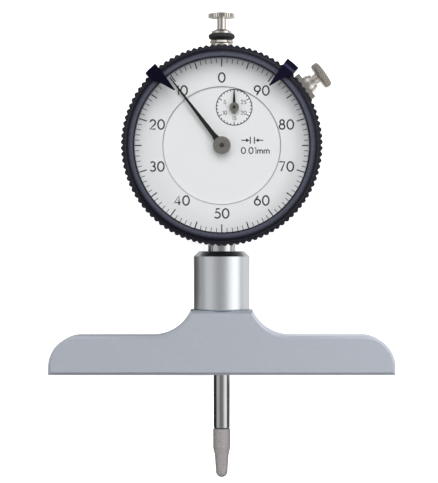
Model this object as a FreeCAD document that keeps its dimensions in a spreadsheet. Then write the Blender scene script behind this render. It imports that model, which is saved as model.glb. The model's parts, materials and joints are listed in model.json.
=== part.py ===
import FreeCAD, Part
import math
import os
import re
import Sketcher

# Dial depth gauge with a 30 mm stroke, lying on its back with the spindle out.
# Frame: millimetres, origin at the middle of the base's measuring face, on the spindle's axis.
# +Y runs up the spindle towards the lifting knob, +Z out of the dial, +X to the dial's right.

SIZES = {
    # Clearances
    "running_gap": 0.03,
    "seat_gap": 0.02,
    "moving_gap": 0.3,
    # Measuring base
    "base_length": 101.5,
    "base_thickness": 16.0,
    "shoulder_height": 11.4,
    "shoulder_radius": 9.0,
    "neck_width": 18.3,
    "neck_height": 18.8,
    "neck_radius": 12.0,
    "base_chamfer": 0.8,
    # Collar on the base, and its set screw
    "collar_diameter": 16.4,
    "stem_showing": 4.4,
    "collar_chamfer_width": 1.6,
    "collar_chamfer_height": 1.5,
    "collar_foot_chamfer": 0.3,
    "spigot_diameter": 11.0,
    "spigot_length": 6.0,
    "set_screw_diameter": 4.0,
    "set_screw_length": 3.6,
    "set_screw_drop": 8.1,
    "hex_across_flats": 2.0,
    # Stem and its bush
    "stem_diameter": 8.0,
    "stem_seat": 2.0,
    "stem_bore": 6.4,
    "stem_insertion": 6.0,
    "stem_bush_length": 12.0,
    # Spindle, its rack and its contact point
    "spindle_diameter": 4.7,
    "spindle_travel": 30.5,
    "lifted_margin": 0.1,
    "spindle_chamfer": 0.4,
    "point_length": 14.3,
    "point_diameter": 5.08,
    "point_grip_length": 5.5,
    "point_cone_length": 2.1,
    "point_cone_diameter": 4.1,
    "point_tip_radius": 1.7,
    "point_thread_diameter": 2.5,
    "point_thread_length": 5.3,
    "rack_tooth_pitch": 0.625,
    "rack_pitch_offset": 1.85,
    "rack_margin": 2.5,
    "rack_dedendum": 0.24,
    "rack_gap_share": 0.58,
    "pressure_slope": 0.36,
    # Lifting knob and the bumper it stops on
    "knob_diameter": 8.0,
    "knob_thickness": 1.5,
    "knob_dome": 0.35,
    "knob_shank_diameter": 2.7,
    "knob_shank_length": 3.5,
    "knob_flange_diameter": 5.9,
    "knob_flange_thickness": 1.1,
    "knob_thread_diameter": 2.5,
    "knob_thread_length": 4.5,
    "knob_groove_depth": 0.2,
    "knob_groove_width": 0.4,
    "knob_groove_count": 36,
    "bumper_diameter": 7.8,
    "bumper_thickness": 1.8,
    "bush_diameter": 7.2,
    "bush_neck_diameter": 6.2,
    "bush_reach": 5.35,
    "bush_step": 1.2,
    "bush_slope": 0.48,
    # Case: heights along the dial's axis are measured from the spindle's axis
    "dial_height": 66.9,
    "case_radius": 26.4,
    "case_wall": 1.6,
    "cover_thickness": 1.2,
    "case_edge": 0.3,
    "deck_level": 7.2,
    "deck_thickness": 1.2,
    "dial_seat_inset": 0.8,
    "dial_seat_rise": 0.8,
    "cover_boss_radius": 2.0,
    "cover_boss_inset": 3.4,
    "cover_boss_angle": 55.0,
    "cover_screw_diameter": 1.6,
    "cover_screw_length": 4.0,
    "cover_hole_depth": 5.0,
    "stem_boss_radius": 5.6,
    "bush_boss_radius": 5.2,
    "bush_boss_depth": 5.5,
    # Fasteners
    "screw_head_diameter": 2.8,
    "screw_head_height": 0.6,
    "screw_slot_width": 0.4,
    "screw_slot_depth": 0.25,
    # Movement
    "plate_level": 2.65,
    "plate_thickness": 0.6,
    "plate_room": 4.8,
    "pillar_radius": 1.6,
    "pillar_spigot_diameter": 1.6,
    "pillar_spigot_length": 0.9,
    "pillar_screw_diameter": 1.2,
    "pillar_screw_length": 1.8,
    "pillar_hole_depth": 2.4,
    "pillar_inset": 3.2,
    "pillar_right_angle": 10.0,
    "pillar_left_angle": 163.0,
    "pillar_lower_angle": -111.5,
    "cock_level": -4.2,
    "cock_thickness": 0.8,
    "cock_corner_radius": 1.6,
    "cock_reach": 7.0,
    "cock_half_spread": 5.0,
    "cock_pillar_radius": 1.3,
    "pivot_diameter": 0.8,
    "pivot_shoulder_gap": 0.1,
    "arbor_diameter": 1.4,
    "small_arbor_diameter": 1.0,
    "drive_teeth": 100,
    "rack_pinion_teeth": 16,
    "rack_pinion_width": 3.1,
    "centre_pinion_teeth": 10,
    "counter_pinion_teeth": 18,
    "counter_teeth": 54,
    "take_up_teeth": 60,
    "gear_pitch_size": 0.2,
    "tooth_addendum": 0.85,
    "tooth_dedendum": 1.15,
    "tooth_tip_share": 0.14,
    "tooth_root_share": 0.58,
    "gear_level": 3.6,
    "gear_thickness": 0.5,
    "gear_window_diameter": 4.4,
    "gear_windows": 5,
    "counter_gear_level": 4.7,
    "counter_pitch_size": 0.1965,
    "small_dial_x": 3.6,
    "take_up_angle": -50.0,
    # Guide rail, return spring and hairspring
    "guide_pin_diameter": 1.2,
    "guide_pin_reach": 9.2,
    "guide_pin_groove_depth": 0.15,
    "rail_start": 3.0,
    "rail_width": 2.6,
    "rail_depth": 1.7,
    "rail_overlap": 2.0,
    "rail_screw_diameter": 1.0,
    "rail_screw_depth": 1.45,
    "rail_screw_inset": 5.0,
    "spring_post_rise": 4.0,
    "spring_post_diameter": 1.2,
    "spring_post_foot": -1.8,
    "spring_offset": 7.8,
    "spring_coil_radius": 1.6,
    "spring_wire_radius": 0.25,
    "spring_turns": 11,
    "hairspring_outer_radius": 4.3,
    "hairspring_turns": 4,
    "hairspring_width": 0.6,
    "hairspring_thickness": 0.14,
    "hairspring_level": 4.9,
    "stud_diameter": 0.9,
    # Dial and pointers
    "dial_ring_width": 9.2,
    "dial_thickness": 0.4,
    "ring_lift": 0.5,
    "ring_thickness": 0.5,
    "pointer_lift": 1.6,
    "pointer_thickness": 0.4,
    "pointer_tip_inset": 1.55,
    "pointer_root_width": 2.4,
    "pointer_flare_length": 3.86,
    "pointer_width": 1.35,
    "pointer_tip_width": 0.3,
    "pointer_hub_diameter": 5.15,
    "pointer_hub_thickness": 0.6,
    "pointer_angle": 37.4,
    "small_pointer_lift": 0.5,
    "small_pointer_length": 5.1,
    "small_pointer_width": 0.8,
    "small_pointer_tip_width": 0.25,
    "small_hub_diameter": 2.8,
    "small_tail_length": 2.0,
    "small_tail_width": 0.4,
    "small_tail_angle": 36.9,
    "pointer_bush_diameter": 3.2,
    "small_bush_diameter": 2.4,
    # Bezel and crystal
    "skirt_level": 4.4,
    "skirt_wall": 1.15,
    "bezel_running_gap": 0.06,
    "flange_rise": 1.1,
    "flange_thickness": 3.5,
    "flange_overhang": 2.8,
    "knurl_depth": 0.55,
    "knurl_width": 1.3,
    "knurl_count": 100,
    "bead_overhang": 1.8,
    "crystal_inset": 0.6,
    "crystal_thickness": 1.2,
    "crystal_ring_height": 3.2,
    "crystal_ring_wall": 0.55,
    "lip_overlap": 0.55,
    "lip_thickness": 0.8,
    "lip_edge": 0.2,
    "wire_level": 6.4,
    "wire_size": 0.6,
    "wire_groove_depth": 0.4,
    "wire_opening": 25.0,
    # Limit markers on the bezel
    "marker_angle_right": 37.4,
    "marker_angle_left": 39.4,
    "marker_sweep_angle": 7.6,
    "marker_stand_off_right": 2.0,
    "marker_stand_off_left": 0.95,
    "marker_length": 9.4,
    "marker_block_length": 3.3,
    "marker_waist_length": 4.9,
    "marker_waist_width": 2.5,
    "marker_strip_width": 1.5,
    "marker_strip_drop": 0.45,
    "marker_leg_thickness": 0.75,
    "marker_blade_thickness": 0.9,
    "marker_tip_width": 0.35,
    "marker_tip_shift": 0.4,
    # Bezel clamp
    "clamp_angle": 35.5,
    "clamp_axis_level": 5.5,
    "clamp_width": 8.2,
    "clamp_stand_off": 1.59,
    "clamp_plate_thickness": 1.4,
    "clamp_foot_level": -2.4,
    "clamp_foot_height": 6.4,
    "clamp_boss_diameter": 5.3,
    "clamp_boss_length": 1.5,
    "clamp_collar_diameter": 4.4,
    "clamp_collar_length": 0.9,
    "clamp_screw_diameter": 2.5,
    "clamp_neck_diameter": 3.0,
    "clamp_neck_length": 1.3,
    "clamp_knob_diameter": 8.0,
    "clamp_knob_thickness": 2.35,
    "clamp_knob_edge": 0.8,
    "clamp_shoe_diameter": 2.2,
    "clamp_shoe_thickness": 0.8,
    "clamp_shoe_spigot_diameter": 1.0,
    "clamp_shoe_spigot_length": 0.9,
    "clamp_fixing_spread": 5.0,
    "clamp_fixing_level": -0.5,
    "clamp_fixing_diameter": 1.6,
}

# Sizes that follow from the ones above
TIED = {
    "collar_length": "dial_height - case_radius - stem_showing - neck_height",
    "set_screw_height": "neck_height + collar_length - set_screw_drop",
    "spindle_reach": "spindle_travel + lifted_margin - point_length",
    "rail_ceiling": "dial_height + case_radius - bush_boss_depth - moving_gap",
    "guide_pin_height": "rail_ceiling - rail_overlap - spindle_travel",
    "spring_post_height": "dial_height - case_radius + spring_post_rise",
    "cover_boss_circle": "case_radius - cover_boss_inset",
    "plate_radius": "case_radius - case_wall - plate_room",
    "pillar_circle": "plate_radius - pillar_inset",
    "dial_split_radius": "case_radius - dial_ring_width",
    "dial_seat_radius": "dial_split_radius - dial_seat_inset",
    "dial_top_level": "deck_level + deck_thickness + dial_seat_rise + dial_thickness",
    "small_pointer_level": "dial_top_level + small_pointer_lift",
    "pointer_level": "dial_top_level + pointer_lift",
    "pointer_length": "case_radius - pointer_tip_inset",
    "flange_radius": "case_radius + flange_overhang",
    "bead_foot_radius": "case_radius + bead_overhang",
    "crystal_radius": "case_radius - crystal_inset",
    "lip_radius": "crystal_radius - lip_overlap",
    "skirt_radius": "case_radius + bezel_running_gap + skirt_wall",
    "clamp_outer_radius": "skirt_radius + clamp_stand_off + clamp_plate_thickness",
}
SIZE_NAME = re.compile(r"\b[a-z]+_[a-z_]+\b")

doc = FreeCAD.newDocument("dial_depth_gauge")
sheet = doc.addObject("Spreadsheet::Sheet", "dim")
for row, (alias, number) in enumerate(SIZES.items(), start=1):
    sheet.set(f"A{row}", alias)
    sheet.set(f"B{row}", str(number))
    sheet.setAlias(f"B{row}", alias)
doc.recompute()

Vector = FreeCAD.Vector
X_AXIS = Vector(1, 0, 0)
Y_AXIS = Vector(0, 1, 0)
Z_AXIS = Vector(0, 0, 1)
nodes = []

# Places worked out from the driving sizes, as expressions over the sheet
BACK = "(-base_thickness / 2)"
COVER_TOP = "(cover_thickness - base_thickness / 2)"
COLLAR_TOP = "(neck_height + collar_length)"
STEM_FOOT = "(neck_height + stem_seat)"
STEM_TOP = "(dial_height - case_radius + stem_insertion)"
BORE = "(point_diameter / 2 + moving_gap)"
SPINDLE_RADIUS = "(spindle_diameter / 2)"
BUSH_TOP = "(dial_height + case_radius + bush_reach)"
BUMPER_TOP = "(dial_height + case_radius + bush_reach + bumper_thickness)"
DECK_TOP = "(deck_level + deck_thickness)"
DIAL_SEAT = "(deck_level + deck_thickness + dial_seat_rise)"
RING_LEVEL = f"({DIAL_SEAT} + ring_lift)"
RING_TOP = f"({RING_LEVEL} + ring_thickness)"
CRYSTAL_LEVEL = f"({RING_TOP} + crystal_ring_height)"
LIP_LEVEL = f"({CRYSTAL_LEVEL} + crystal_thickness)"
BEZEL_TOP = f"({LIP_LEVEL} + lip_thickness)"
FLANGE_LEVEL = f"({DECK_TOP} + flange_rise)"
FLANGE_TOP = f"({FLANGE_LEVEL} + flange_thickness)"
SKIRT_BORE = "(case_radius + bezel_running_gap)"
RACK_PITCH_RADIUS = "(rack_pinion_teeth * rack_tooth_pitch / (2 * pi))"
ARBOR_X = f"(-rack_pitch_offset - {RACK_PITCH_RADIUS})"
DRIVE_DISTANCE = "((centre_pinion_teeth + drive_teeth) * gear_pitch_size / 2)"
ARBOR_RISE = f"sqrt({DRIVE_DISTANCE}^2 - {ARBOR_X}^2)"
COUNTER_DISTANCE = "((counter_pinion_teeth + counter_teeth) * counter_pitch_size / 2)"
SMALL_RISE = f"({ARBOR_RISE} + sqrt({COUNTER_DISTANCE}^2 - (small_dial_x - {ARBOR_X})^2))"
TAKE_UP_DISTANCE = "((centre_pinion_teeth + take_up_teeth) * gear_pitch_size / 2)"
TAKE_UP_X = f"({TAKE_UP_DISTANCE} * cos(take_up_angle))"
TAKE_UP_RISE = f"({TAKE_UP_DISTANCE} * sin(take_up_angle))"


def written_out(name):
    """A tied size as the sizes that it follows from, and any other size as a cell of the sheet."""
    size = name.group()
    return f"({linked(TIED[size])})" if size in TIED else f"dim.{size}"


def linked(text):
    """The same expression, with each size's name read from the sheet."""
    return SIZE_NAME.sub(written_out, str(text))


def value(text):
    """The number that an expression over the sizes gives."""
    return float(sheet.evalExpression(linked(text)))


def new_body(name):
    body = doc.addObject("PartDesign::Body", name)
    body.Label = name
    nodes.append(body)
    return body


def origin_feature(body, role):
    return next(item for item in body.Origin.OriginFeatures if item.Role == role)


def new_sketch(body, role, level="0"):
    """Sketch on an origin plane of the body, moved along the plane's normal."""
    sketch = body.newObject("Sketcher::SketchObject", f"{body.Name}_sketch")
    sketch.AttachmentSupport = [(origin_feature(body, role), "")]
    sketch.MapMode = "FlatFace"
    sketch.setExpression("AttachmentOffset.Base.z", linked(level))
    return sketch


def fix_point(sketch, item, end, x, y):
    """Hold a point of the sketch at the given place."""
    for kind, text in (("DistanceX", x), ("DistanceY", y)):
        index = sketch.addConstraint(Sketcher.Constraint(kind, -1, 1, item, end, value(text)))
        sketch.setExpression(f"Constraints[{index}]", linked(text))


def draw_outline(sketch, corners):
    """Closed outline. A corner is (x, y), or (x, y, radius, side) where an arc leads to the next corner.

    The arc's centre lies on the named side of the way from one corner to the next.
    """
    places = [Vector(value(corner[0]), value(corner[1]), 0) for corner in corners]
    first = sketch.GeometryCount
    ends = []
    for index, corner in enumerate(corners):
        start = places[index]
        finish = places[(index + 1) % len(places)]
        if len(corner) == 2:
            sketch.addGeometry(Part.LineSegment(start, finish), False)
            ends.append((1, 2))
            continue
        radius = value(corner[2])
        chord = finish - start
        inwards = Vector(-chord.y, chord.x, 0).normalize() * (1 if corner[3] == "left" else -1)
        depth = math.sqrt(max(radius**2 - (chord.Length / 2) ** 2, 0))
        centre = (start + finish) / 2 + inwards * depth
        middle = centre - inwards * radius
        turn = (start, middle, finish) if corner[3] == "left" else (finish, middle, start)
        sketch.addGeometry(Part.Arc(*turn), False)
        ends.append((1, 2) if corner[3] == "left" else (2, 1))
    for index, corner in enumerate(corners):
        item = first + index
        after = (index + 1) % len(corners)
        sketch.addConstraint(
            Sketcher.Constraint("Coincident", item, ends[index][1], first + after, ends[after][0])
        )
        fix_point(sketch, item, ends[index][0], corner[0], corner[1])
        if len(corner) == 4:
            radius = sketch.addConstraint(Sketcher.Constraint("Radius", item, value(corner[2])))
            sketch.setExpression(f"Constraints[{radius}]", linked(corner[2]))


def draw_circle(sketch, x, y, radius):
    item = sketch.addGeometry(Part.Circle(Vector(value(x), value(y), 0), Z_AXIS, value(radius)), False)
    fix_point(sketch, item, 3, x, y)
    index = sketch.addConstraint(Sketcher.Constraint("Radius", item, value(radius)))
    sketch.setExpression(f"Constraints[{index}]", linked(radius))


def extrude(body, kind, sketch, length, forwards=True, both_ways=False):
    """Pad or Pocket of a sketch, along its plane's normal or against it."""
    feature = body.newObject(f"PartDesign::{kind}", f"{body.Name}_{kind.lower()}")
    feature.Profile = sketch
    feature.setExpression("Length", linked(length))
    feature.Midplane = both_ways
    feature.Reversed = forwards if kind == "Pocket" else not forwards
    return feature


def revolve(body, sketch, axis="V_Axis", angle="360"):
    feature = body.newObject("PartDesign::Revolution", f"{body.Name}_revolution")
    feature.Profile = sketch
    feature.ReferenceAxis = (sketch, [axis])
    feature.setExpression("Angle", linked(angle))
    return feature


def turned(name, corners, role="XZ_Plane", axis="V_Axis", angle="360"):
    """Body turned from a half section; on the XZ plane about Z, on the XY plane about Y or X."""
    body = new_body(name)
    sketch = new_sketch(body, role)
    draw_outline(sketch, corners)
    revolve(body, sketch, axis, angle)
    return body


def cut_circles(body, role, level, circles, length, forwards=True):
    """Round holes from a level of an origin plane; a circle is (x, y, radius)."""
    sketch = new_sketch(body, role, level)
    for circle in circles:
        draw_circle(sketch, *circle)
    return extrude(body, "Pocket", sketch, length, forwards)


def place(item, x="0", y="0", z="0", angle="0"):
    """Move a piece, and turn it about the dial's direction."""
    item.Placement = FreeCAD.Placement(
        Vector(value(x), value(y), value(z)), FreeCAD.Rotation(Z_AXIS, value(angle))
    )
    for letter, text in (("x", x), ("y", y), ("z", z)):
        item.setExpression(f"Placement.Base.{letter}", linked(text))
    if value(angle):
        item.setExpression("Placement.Rotation.Angle", linked(angle))


def polar_copies(body, feature, axis, count):
    """The feature repeated all the way round an origin axis."""
    pattern = body.newObject("PartDesign::PolarPattern", f"{body.Name}_pattern")
    pattern.Originals = [feature]
    pattern.Axis = (origin_feature(body, axis), [""])
    pattern.Angle = 360
    pattern.setExpression("Occurrences", linked(count))
    body.Tip = pattern
    return pattern


def shape_node(name, shape):
    """Node whose shape is set here from the sheet's sizes."""
    feature = doc.addObject("Part::Feature", name)
    feature.Label = name
    feature.Shape = shape
    nodes.append(feature)
    return feature


def rod(radius, low, high, x=0.0, y=0.0):
    """Cylinder along the dial's direction, between two levels."""
    return Part.makeCylinder(radius, high - low, Vector(x, y, low))


def screw_shape(shank_diameter, shank_length):
    """Cheese-head screw: its head's slotted top is at the origin and its shank points along +Z."""
    head_radius = value("screw_head_diameter / 2")
    head_height = value("screw_head_height")
    slot_width = value("screw_slot_width")
    slot_depth = value("screw_slot_depth")
    head = rod(head_radius, 0, head_height)
    shank = rod(shank_diameter / 2, head_height, head_height + shank_length)
    slot = Part.makeBox(
        2 * head_radius, slot_width, slot_depth, Vector(-head_radius, -slot_width / 2, 0)
    )
    return head.fuse(shank).cut(slot)


def moved(shape, place_at, towards=Z_AXIS):
    """Copy of a shape that was made along +Z, set at a place and pointing in a direction."""
    copy = shape.copy()
    copy.Placement = FreeCAD.Placement(place_at, FreeCAD.Rotation(Z_AXIS, towards))
    return copy


def polar(radius, degrees, z=0.0):
    return Vector(
        radius * math.cos(math.radians(degrees)), radius * math.sin(math.radians(degrees)), z
    )


def gear_shape(teeth, size, low, thickness, tooth_at):
    """Spur gear with straight-sided teeth, thinned for backlash; tooth_at is the direction of one tooth."""
    pitch_radius = teeth * size / 2
    step = 360 / teeth
    tip_radius = pitch_radius + value("tooth_addendum") * size
    root_radius = pitch_radius - value("tooth_dedendum") * size
    tip_half = value("tooth_tip_share") * step / 2
    root_half = value("tooth_root_share") * step / 2
    outline = []
    for tooth in range(teeth):
        middle = tooth_at + tooth * step
        outline.append(polar(root_radius, middle - root_half, low))
        outline.append(polar(tip_radius, middle - tip_half, low))
        outline.append(polar(tip_radius, middle + tip_half, low))
        outline.append(polar(root_radius, middle + root_half, low))
    outline.append(outline[0])
    return Part.Face(Part.makePolygon(outline)).extrude(Vector(0, 0, thickness))


def tube_shape(path, radius, sides):
    """Solid of a thin wire along a path of points, with a regular section."""
    rings = []
    across = None
    for index, point in enumerate(path):
        before = path[max(index - 1, 0)]
        after = path[min(index + 1, len(path) - 1)]
        along = (after - before).normalize()
        if across is None:
            across = along.cross(Z_AXIS if abs(along.z) < 0.9 else X_AXIS)
        across = (across - along * across.dot(along)).normalize()
        upright = along.cross(across)
        ring = []
        for side in range(sides):
            turn = 2 * math.pi * (side + 0.5) / sides
            ring.append(point + across * (radius * math.cos(turn)) + upright * (radius * math.sin(turn)))
        rings.append(ring)
    faces = [Part.Face(Part.makePolygon(ring + ring[:1])) for ring in (rings[0], rings[-1])]
    for lower, upper in zip(rings, rings[1:]):
        for side in range(sides):
            after = (side + 1) % sides
            for corners in (
                (lower[side], lower[after], upper[after]),
                (lower[side], upper[after], upper[side]),
            ):
                faces.append(Part.Face(Part.makePolygon([*corners, corners[0]])))
    solid = Part.Solid(Part.makeShell(faces))
    if solid.Volume < 0:
        solid.reverse()
    return solid


# Measuring base: shoulders run into the neck with a hollow radius
NECK_FOOT = "(neck_width / 2 + sqrt(neck_radius^2 - (neck_radius - neck_height + shoulder_height)^2))"
SHOULDER_END = "(base_length / 2 - shoulder_radius)"
base = new_body("base")
base_sketch = new_sketch(base, "XY_Plane")
draw_outline(
    base_sketch,
    [
        ("-base_length / 2", "0"),
        ("base_length / 2", "0"),
        ("base_length / 2", "shoulder_height - shoulder_radius", "shoulder_radius", "left"),
        (SHOULDER_END, "shoulder_height"),
        (NECK_FOOT, "shoulder_height", "neck_radius", "right"),
        ("neck_width / 2", "neck_height"),
        ("-neck_width / 2", "neck_height", "neck_radius", "right"),
        (f"-{NECK_FOOT}", "shoulder_height"),
        (f"-{SHOULDER_END}", "shoulder_height", "shoulder_radius", "left"),
        ("-base_length / 2", "shoulder_height - shoulder_radius"),
    ],
)
base_pad = extrude(base, "Pad", base_sketch, "base_thickness", both_ways=True)
doc.recompute()
base_edges = [
    f"Edge{number}"
    for number, edge in enumerate(base_pad.Shape.Edges, start=1)
    if edge.BoundBox.ZLength < 0.001
]
base_chamfer = base.newObject("PartDesign::Chamfer", "base_chamfer")
base_chamfer.Base = (base_pad, base_edges)
base_chamfer.setExpression("Size", linked("base_chamfer"))
cut_circles(base, "XZ_Plane", "0", [("0", "0", BORE)], "neck_height", forwards=False)
cut_circles(
    base,
    "XZ_Plane",
    "-neck_height",
    [("0", "0", "spigot_diameter / 2")],
    "spigot_length",
)

# Collar: a spigot in the base below, a seat for the stem above and a tapped hole for its set screw
collar = turned(
    "collar",
    [
        (BORE, "neck_height - spigot_length"),
        ("spigot_diameter / 2 - seat_gap", "neck_height - spigot_length"),
        ("spigot_diameter / 2 - seat_gap", "neck_height"),
        ("collar_diameter / 2 - collar_foot_chamfer", "neck_height"),
        ("collar_diameter / 2", "neck_height + collar_foot_chamfer"),
        ("collar_diameter / 2", f"{COLLAR_TOP} - collar_chamfer_height"),
        ("collar_diameter / 2 - collar_chamfer_width", COLLAR_TOP),
        ("stem_diameter / 2 + seat_gap", COLLAR_TOP),
        ("stem_diameter / 2 + seat_gap", STEM_FOOT),
        (BORE, STEM_FOOT),
    ],
    role="XY_Plane",
)
cut_circles(
    collar,
    "XY_Plane",
    "-collar_diameter / 2",
    [("0", "set_screw_height", "set_screw_diameter / 2 + seat_gap")],
    "collar_diameter / 2 - stem_diameter / 4",
)

# Headless set screw that holds the stem from behind
SCREW_TIP = "(-stem_diameter / 2)"
set_screw = turned(
    "stem_set_screw",
    [
        ("0", SCREW_TIP),
        ("set_screw_diameter / 4", SCREW_TIP),
        ("set_screw_diameter / 2", f"{SCREW_TIP} - set_screw_diameter / 4"),
        ("set_screw_diameter / 2", f"{SCREW_TIP} - set_screw_length"),
        ("0", f"{SCREW_TIP} - set_screw_length"),
    ],
)
hex_sketch = new_sketch(set_screw, "XY_Plane", f"{SCREW_TIP} - set_screw_length")
HEX_CORNERS = [
    (f"hex_across_flats / sqrt(3) * cos({turn})", f"hex_across_flats / sqrt(3) * sin({turn})")
    for turn in range(0, 360, 60)
]
draw_outline(hex_sketch, HEX_CORNERS)
extrude(set_screw, "Pocket", hex_sketch, "set_screw_length / 2")
place(set_screw, y="set_screw_height")

# Stem, pressed into the case, and the plain bush in its lower end
stem = turned(
    "stem",
    [
        ("stem_bore / 2", STEM_FOOT),
        ("stem_diameter / 2", STEM_FOOT),
        ("stem_diameter / 2", STEM_TOP),
        ("stem_bore / 2", STEM_TOP),
    ],
    role="XY_Plane",
)
stem_bush = turned(
    "stem_bush",
    [
        (f"{SPINDLE_RADIUS} + running_gap", STEM_FOOT),
        ("stem_bore / 2 - seat_gap", STEM_FOOT),
        ("stem_bore / 2 - seat_gap", f"{STEM_FOOT} + stem_bush_length"),
        (f"{SPINDLE_RADIUS} + running_gap", f"{STEM_FOOT} + stem_bush_length"),
    ],
    role="XY_Plane",
)

# Case: a turned cup, open at the back, with a deck that carries the dial
GROOVE_HALF = "(wire_size / 2 + seat_gap)"
case = new_body("case")
case_sketch = new_sketch(case, "XZ_Plane")
draw_outline(
    case_sketch,
    [
        ("0", "deck_level"),
        ("case_radius - case_wall", "deck_level"),
        ("case_radius - case_wall", COVER_TOP),
        ("case_radius", COVER_TOP),
        ("case_radius", f"wire_level - {GROOVE_HALF}"),
        ("case_radius - wire_groove_depth", f"wire_level - {GROOVE_HALF}"),
        ("case_radius - wire_groove_depth", f"wire_level + {GROOVE_HALF}"),
        ("case_radius", f"wire_level + {GROOVE_HALF}"),
        ("case_radius", f"{DECK_TOP} - case_edge"),
        ("case_radius - case_edge", DECK_TOP),
        ("dial_seat_radius", DECK_TOP),
        ("dial_seat_radius", DIAL_SEAT),
        ("0", DIAL_SEAT),
    ],
)
revolve(case, case_sketch)
BOSS_SPOTS = [
    (f"{x_sign} * cover_boss_circle * cos(cover_boss_angle)",
     f"{y_sign} * cover_boss_circle * sin(cover_boss_angle)")
    for x_sign in (-1, 1)
    for y_sign in (-1, 1)
]
boss_sketch = new_sketch(case, "XY_Plane", COVER_TOP)
for spot in BOSS_SPOTS:
    draw_circle(boss_sketch, *spot, "cover_boss_radius")
extrude(case, "Pad", boss_sketch, f"deck_level - {COVER_TOP}")
stem_boss = new_sketch(case, "XZ_Plane", "case_radius - stem_insertion")
draw_circle(stem_boss, "0", "0", "stem_boss_radius")
extrude(case, "Pad", stem_boss, "stem_insertion - case_wall / 2")
bush_boss = new_sketch(case, "XZ_Plane", "bush_boss_depth - case_radius")
draw_circle(bush_boss, "0", "0", "bush_boss_radius")
extrude(case, "Pad", bush_boss, "bush_boss_depth - case_wall / 2", forwards=False)
cut_circles(
    case,
    "XZ_Plane",
    "case_radius - stem_insertion",
    [("0", "0", "stem_diameter / 2 + seat_gap")],
    "stem_insertion + case_wall",
)
cut_circles(
    case,
    "XZ_Plane",
    "bush_boss_depth - case_radius",
    [("0", "0", "bush_diameter / 2 + seat_gap")],
    "bush_boss_depth + case_wall",
    forwards=False,
)
cut_circles(
    case,
    "XY_Plane",
    COVER_TOP,
    [(*spot, "cover_screw_diameter / 2 + seat_gap") for spot in BOSS_SPOTS],
    "cover_hole_depth",
)

place(case, y="dial_height")

# Holes in the deck: blind seats from below, and two bush holes right through
PILLAR_SPOTS = [
    (f"pillar_circle * cos(pillar_{side}_angle)", f"pillar_circle * sin(pillar_{side}_angle)")
    for side in ("right", "left", "lower")
]
POST_RISE = "(spring_post_height - dial_height)"
STUD_X = f"({TAKE_UP_X} + hairspring_outer_radius + stud_diameter / 2)"
SPIGOT_SEAT = "(pillar_spigot_diameter / 2 + seat_gap)"
PIVOT_SEAT = "(pivot_diameter / 2 + running_gap)"
cut_circles(
    case,
    "XY_Plane",
    "deck_level",
    [
        *[(*spot, SPIGOT_SEAT) for spot in PILLAR_SPOTS],
        (ARBOR_X, ARBOR_RISE, PIVOT_SEAT),
        (TAKE_UP_X, TAKE_UP_RISE, PIVOT_SEAT),
        ("spring_offset", POST_RISE, "spring_post_diameter / 2 + seat_gap"),
        (STUD_X, TAKE_UP_RISE, "stud_diameter / 2 + seat_gap"),
    ],
    "pillar_spigot_length + seat_gap",
)
cut_circles(
    case,
    "XY_Plane",
    "deck_level",
    [
        ("0", "0", "pointer_bush_diameter / 2 + seat_gap"),
        ("small_dial_x", SMALL_RISE, "small_bush_diameter / 2 + seat_gap"),
    ],
    "deck_thickness + dial_seat_rise",
)
FIXING_SPOTS = [(f"{side} * clamp_fixing_spread / 2", "clamp_fixing_level") for side in (-1, 1)]
fixing_sketch = new_sketch(case, "YZ_Plane", "0")
fixing_sketch.AttachmentOffset = FreeCAD.Placement(
    Vector(0, 0, 0), FreeCAD.Rotation(Y_AXIS, value("clamp_angle"))
)
fixing_sketch.setExpression("AttachmentOffset.Rotation.Angle", linked("clamp_angle"))
for spot in FIXING_SPOTS:
    draw_circle(fixing_sketch, *spot, "clamp_fixing_diameter / 2 + seat_gap")
extrude(case, "Pocket", fixing_sketch, "case_radius + case_wall")

# Flat back cover on the case, with sunk seats for its screws
back_cover = turned(
    "back_cover",
    [
        ("0", BACK),
        ("case_radius - case_edge", BACK),
        ("case_radius", f"{BACK} + case_edge"),
        ("case_radius", COVER_TOP),
        ("0", COVER_TOP),
    ],
)
cut_circles(
    back_cover,
    "XY_Plane",
    BACK,
    [(*spot, "screw_head_diameter / 2 + 2 * seat_gap") for spot in BOSS_SPOTS],
    "screw_head_height + seat_gap",
)
cut_circles(
    back_cover,
    "XY_Plane",
    BACK,
    [(*spot, "cover_screw_diameter / 2 + 2 * seat_gap") for spot in BOSS_SPOTS],
    "cover_thickness",
)
place(back_cover, y="dial_height")
cover_screw = screw_shape(value("cover_screw_diameter"), value("cover_screw_length"))
shape_node(
    "back_cover_screws",
    Part.makeCompound(
        [
            moved(cover_screw, Vector(value(x), value(f"dial_height + {y}"), value(f"{BACK} + seat_gap")))
            for x, y in BOSS_SPOTS
        ]
    ),
)

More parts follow.
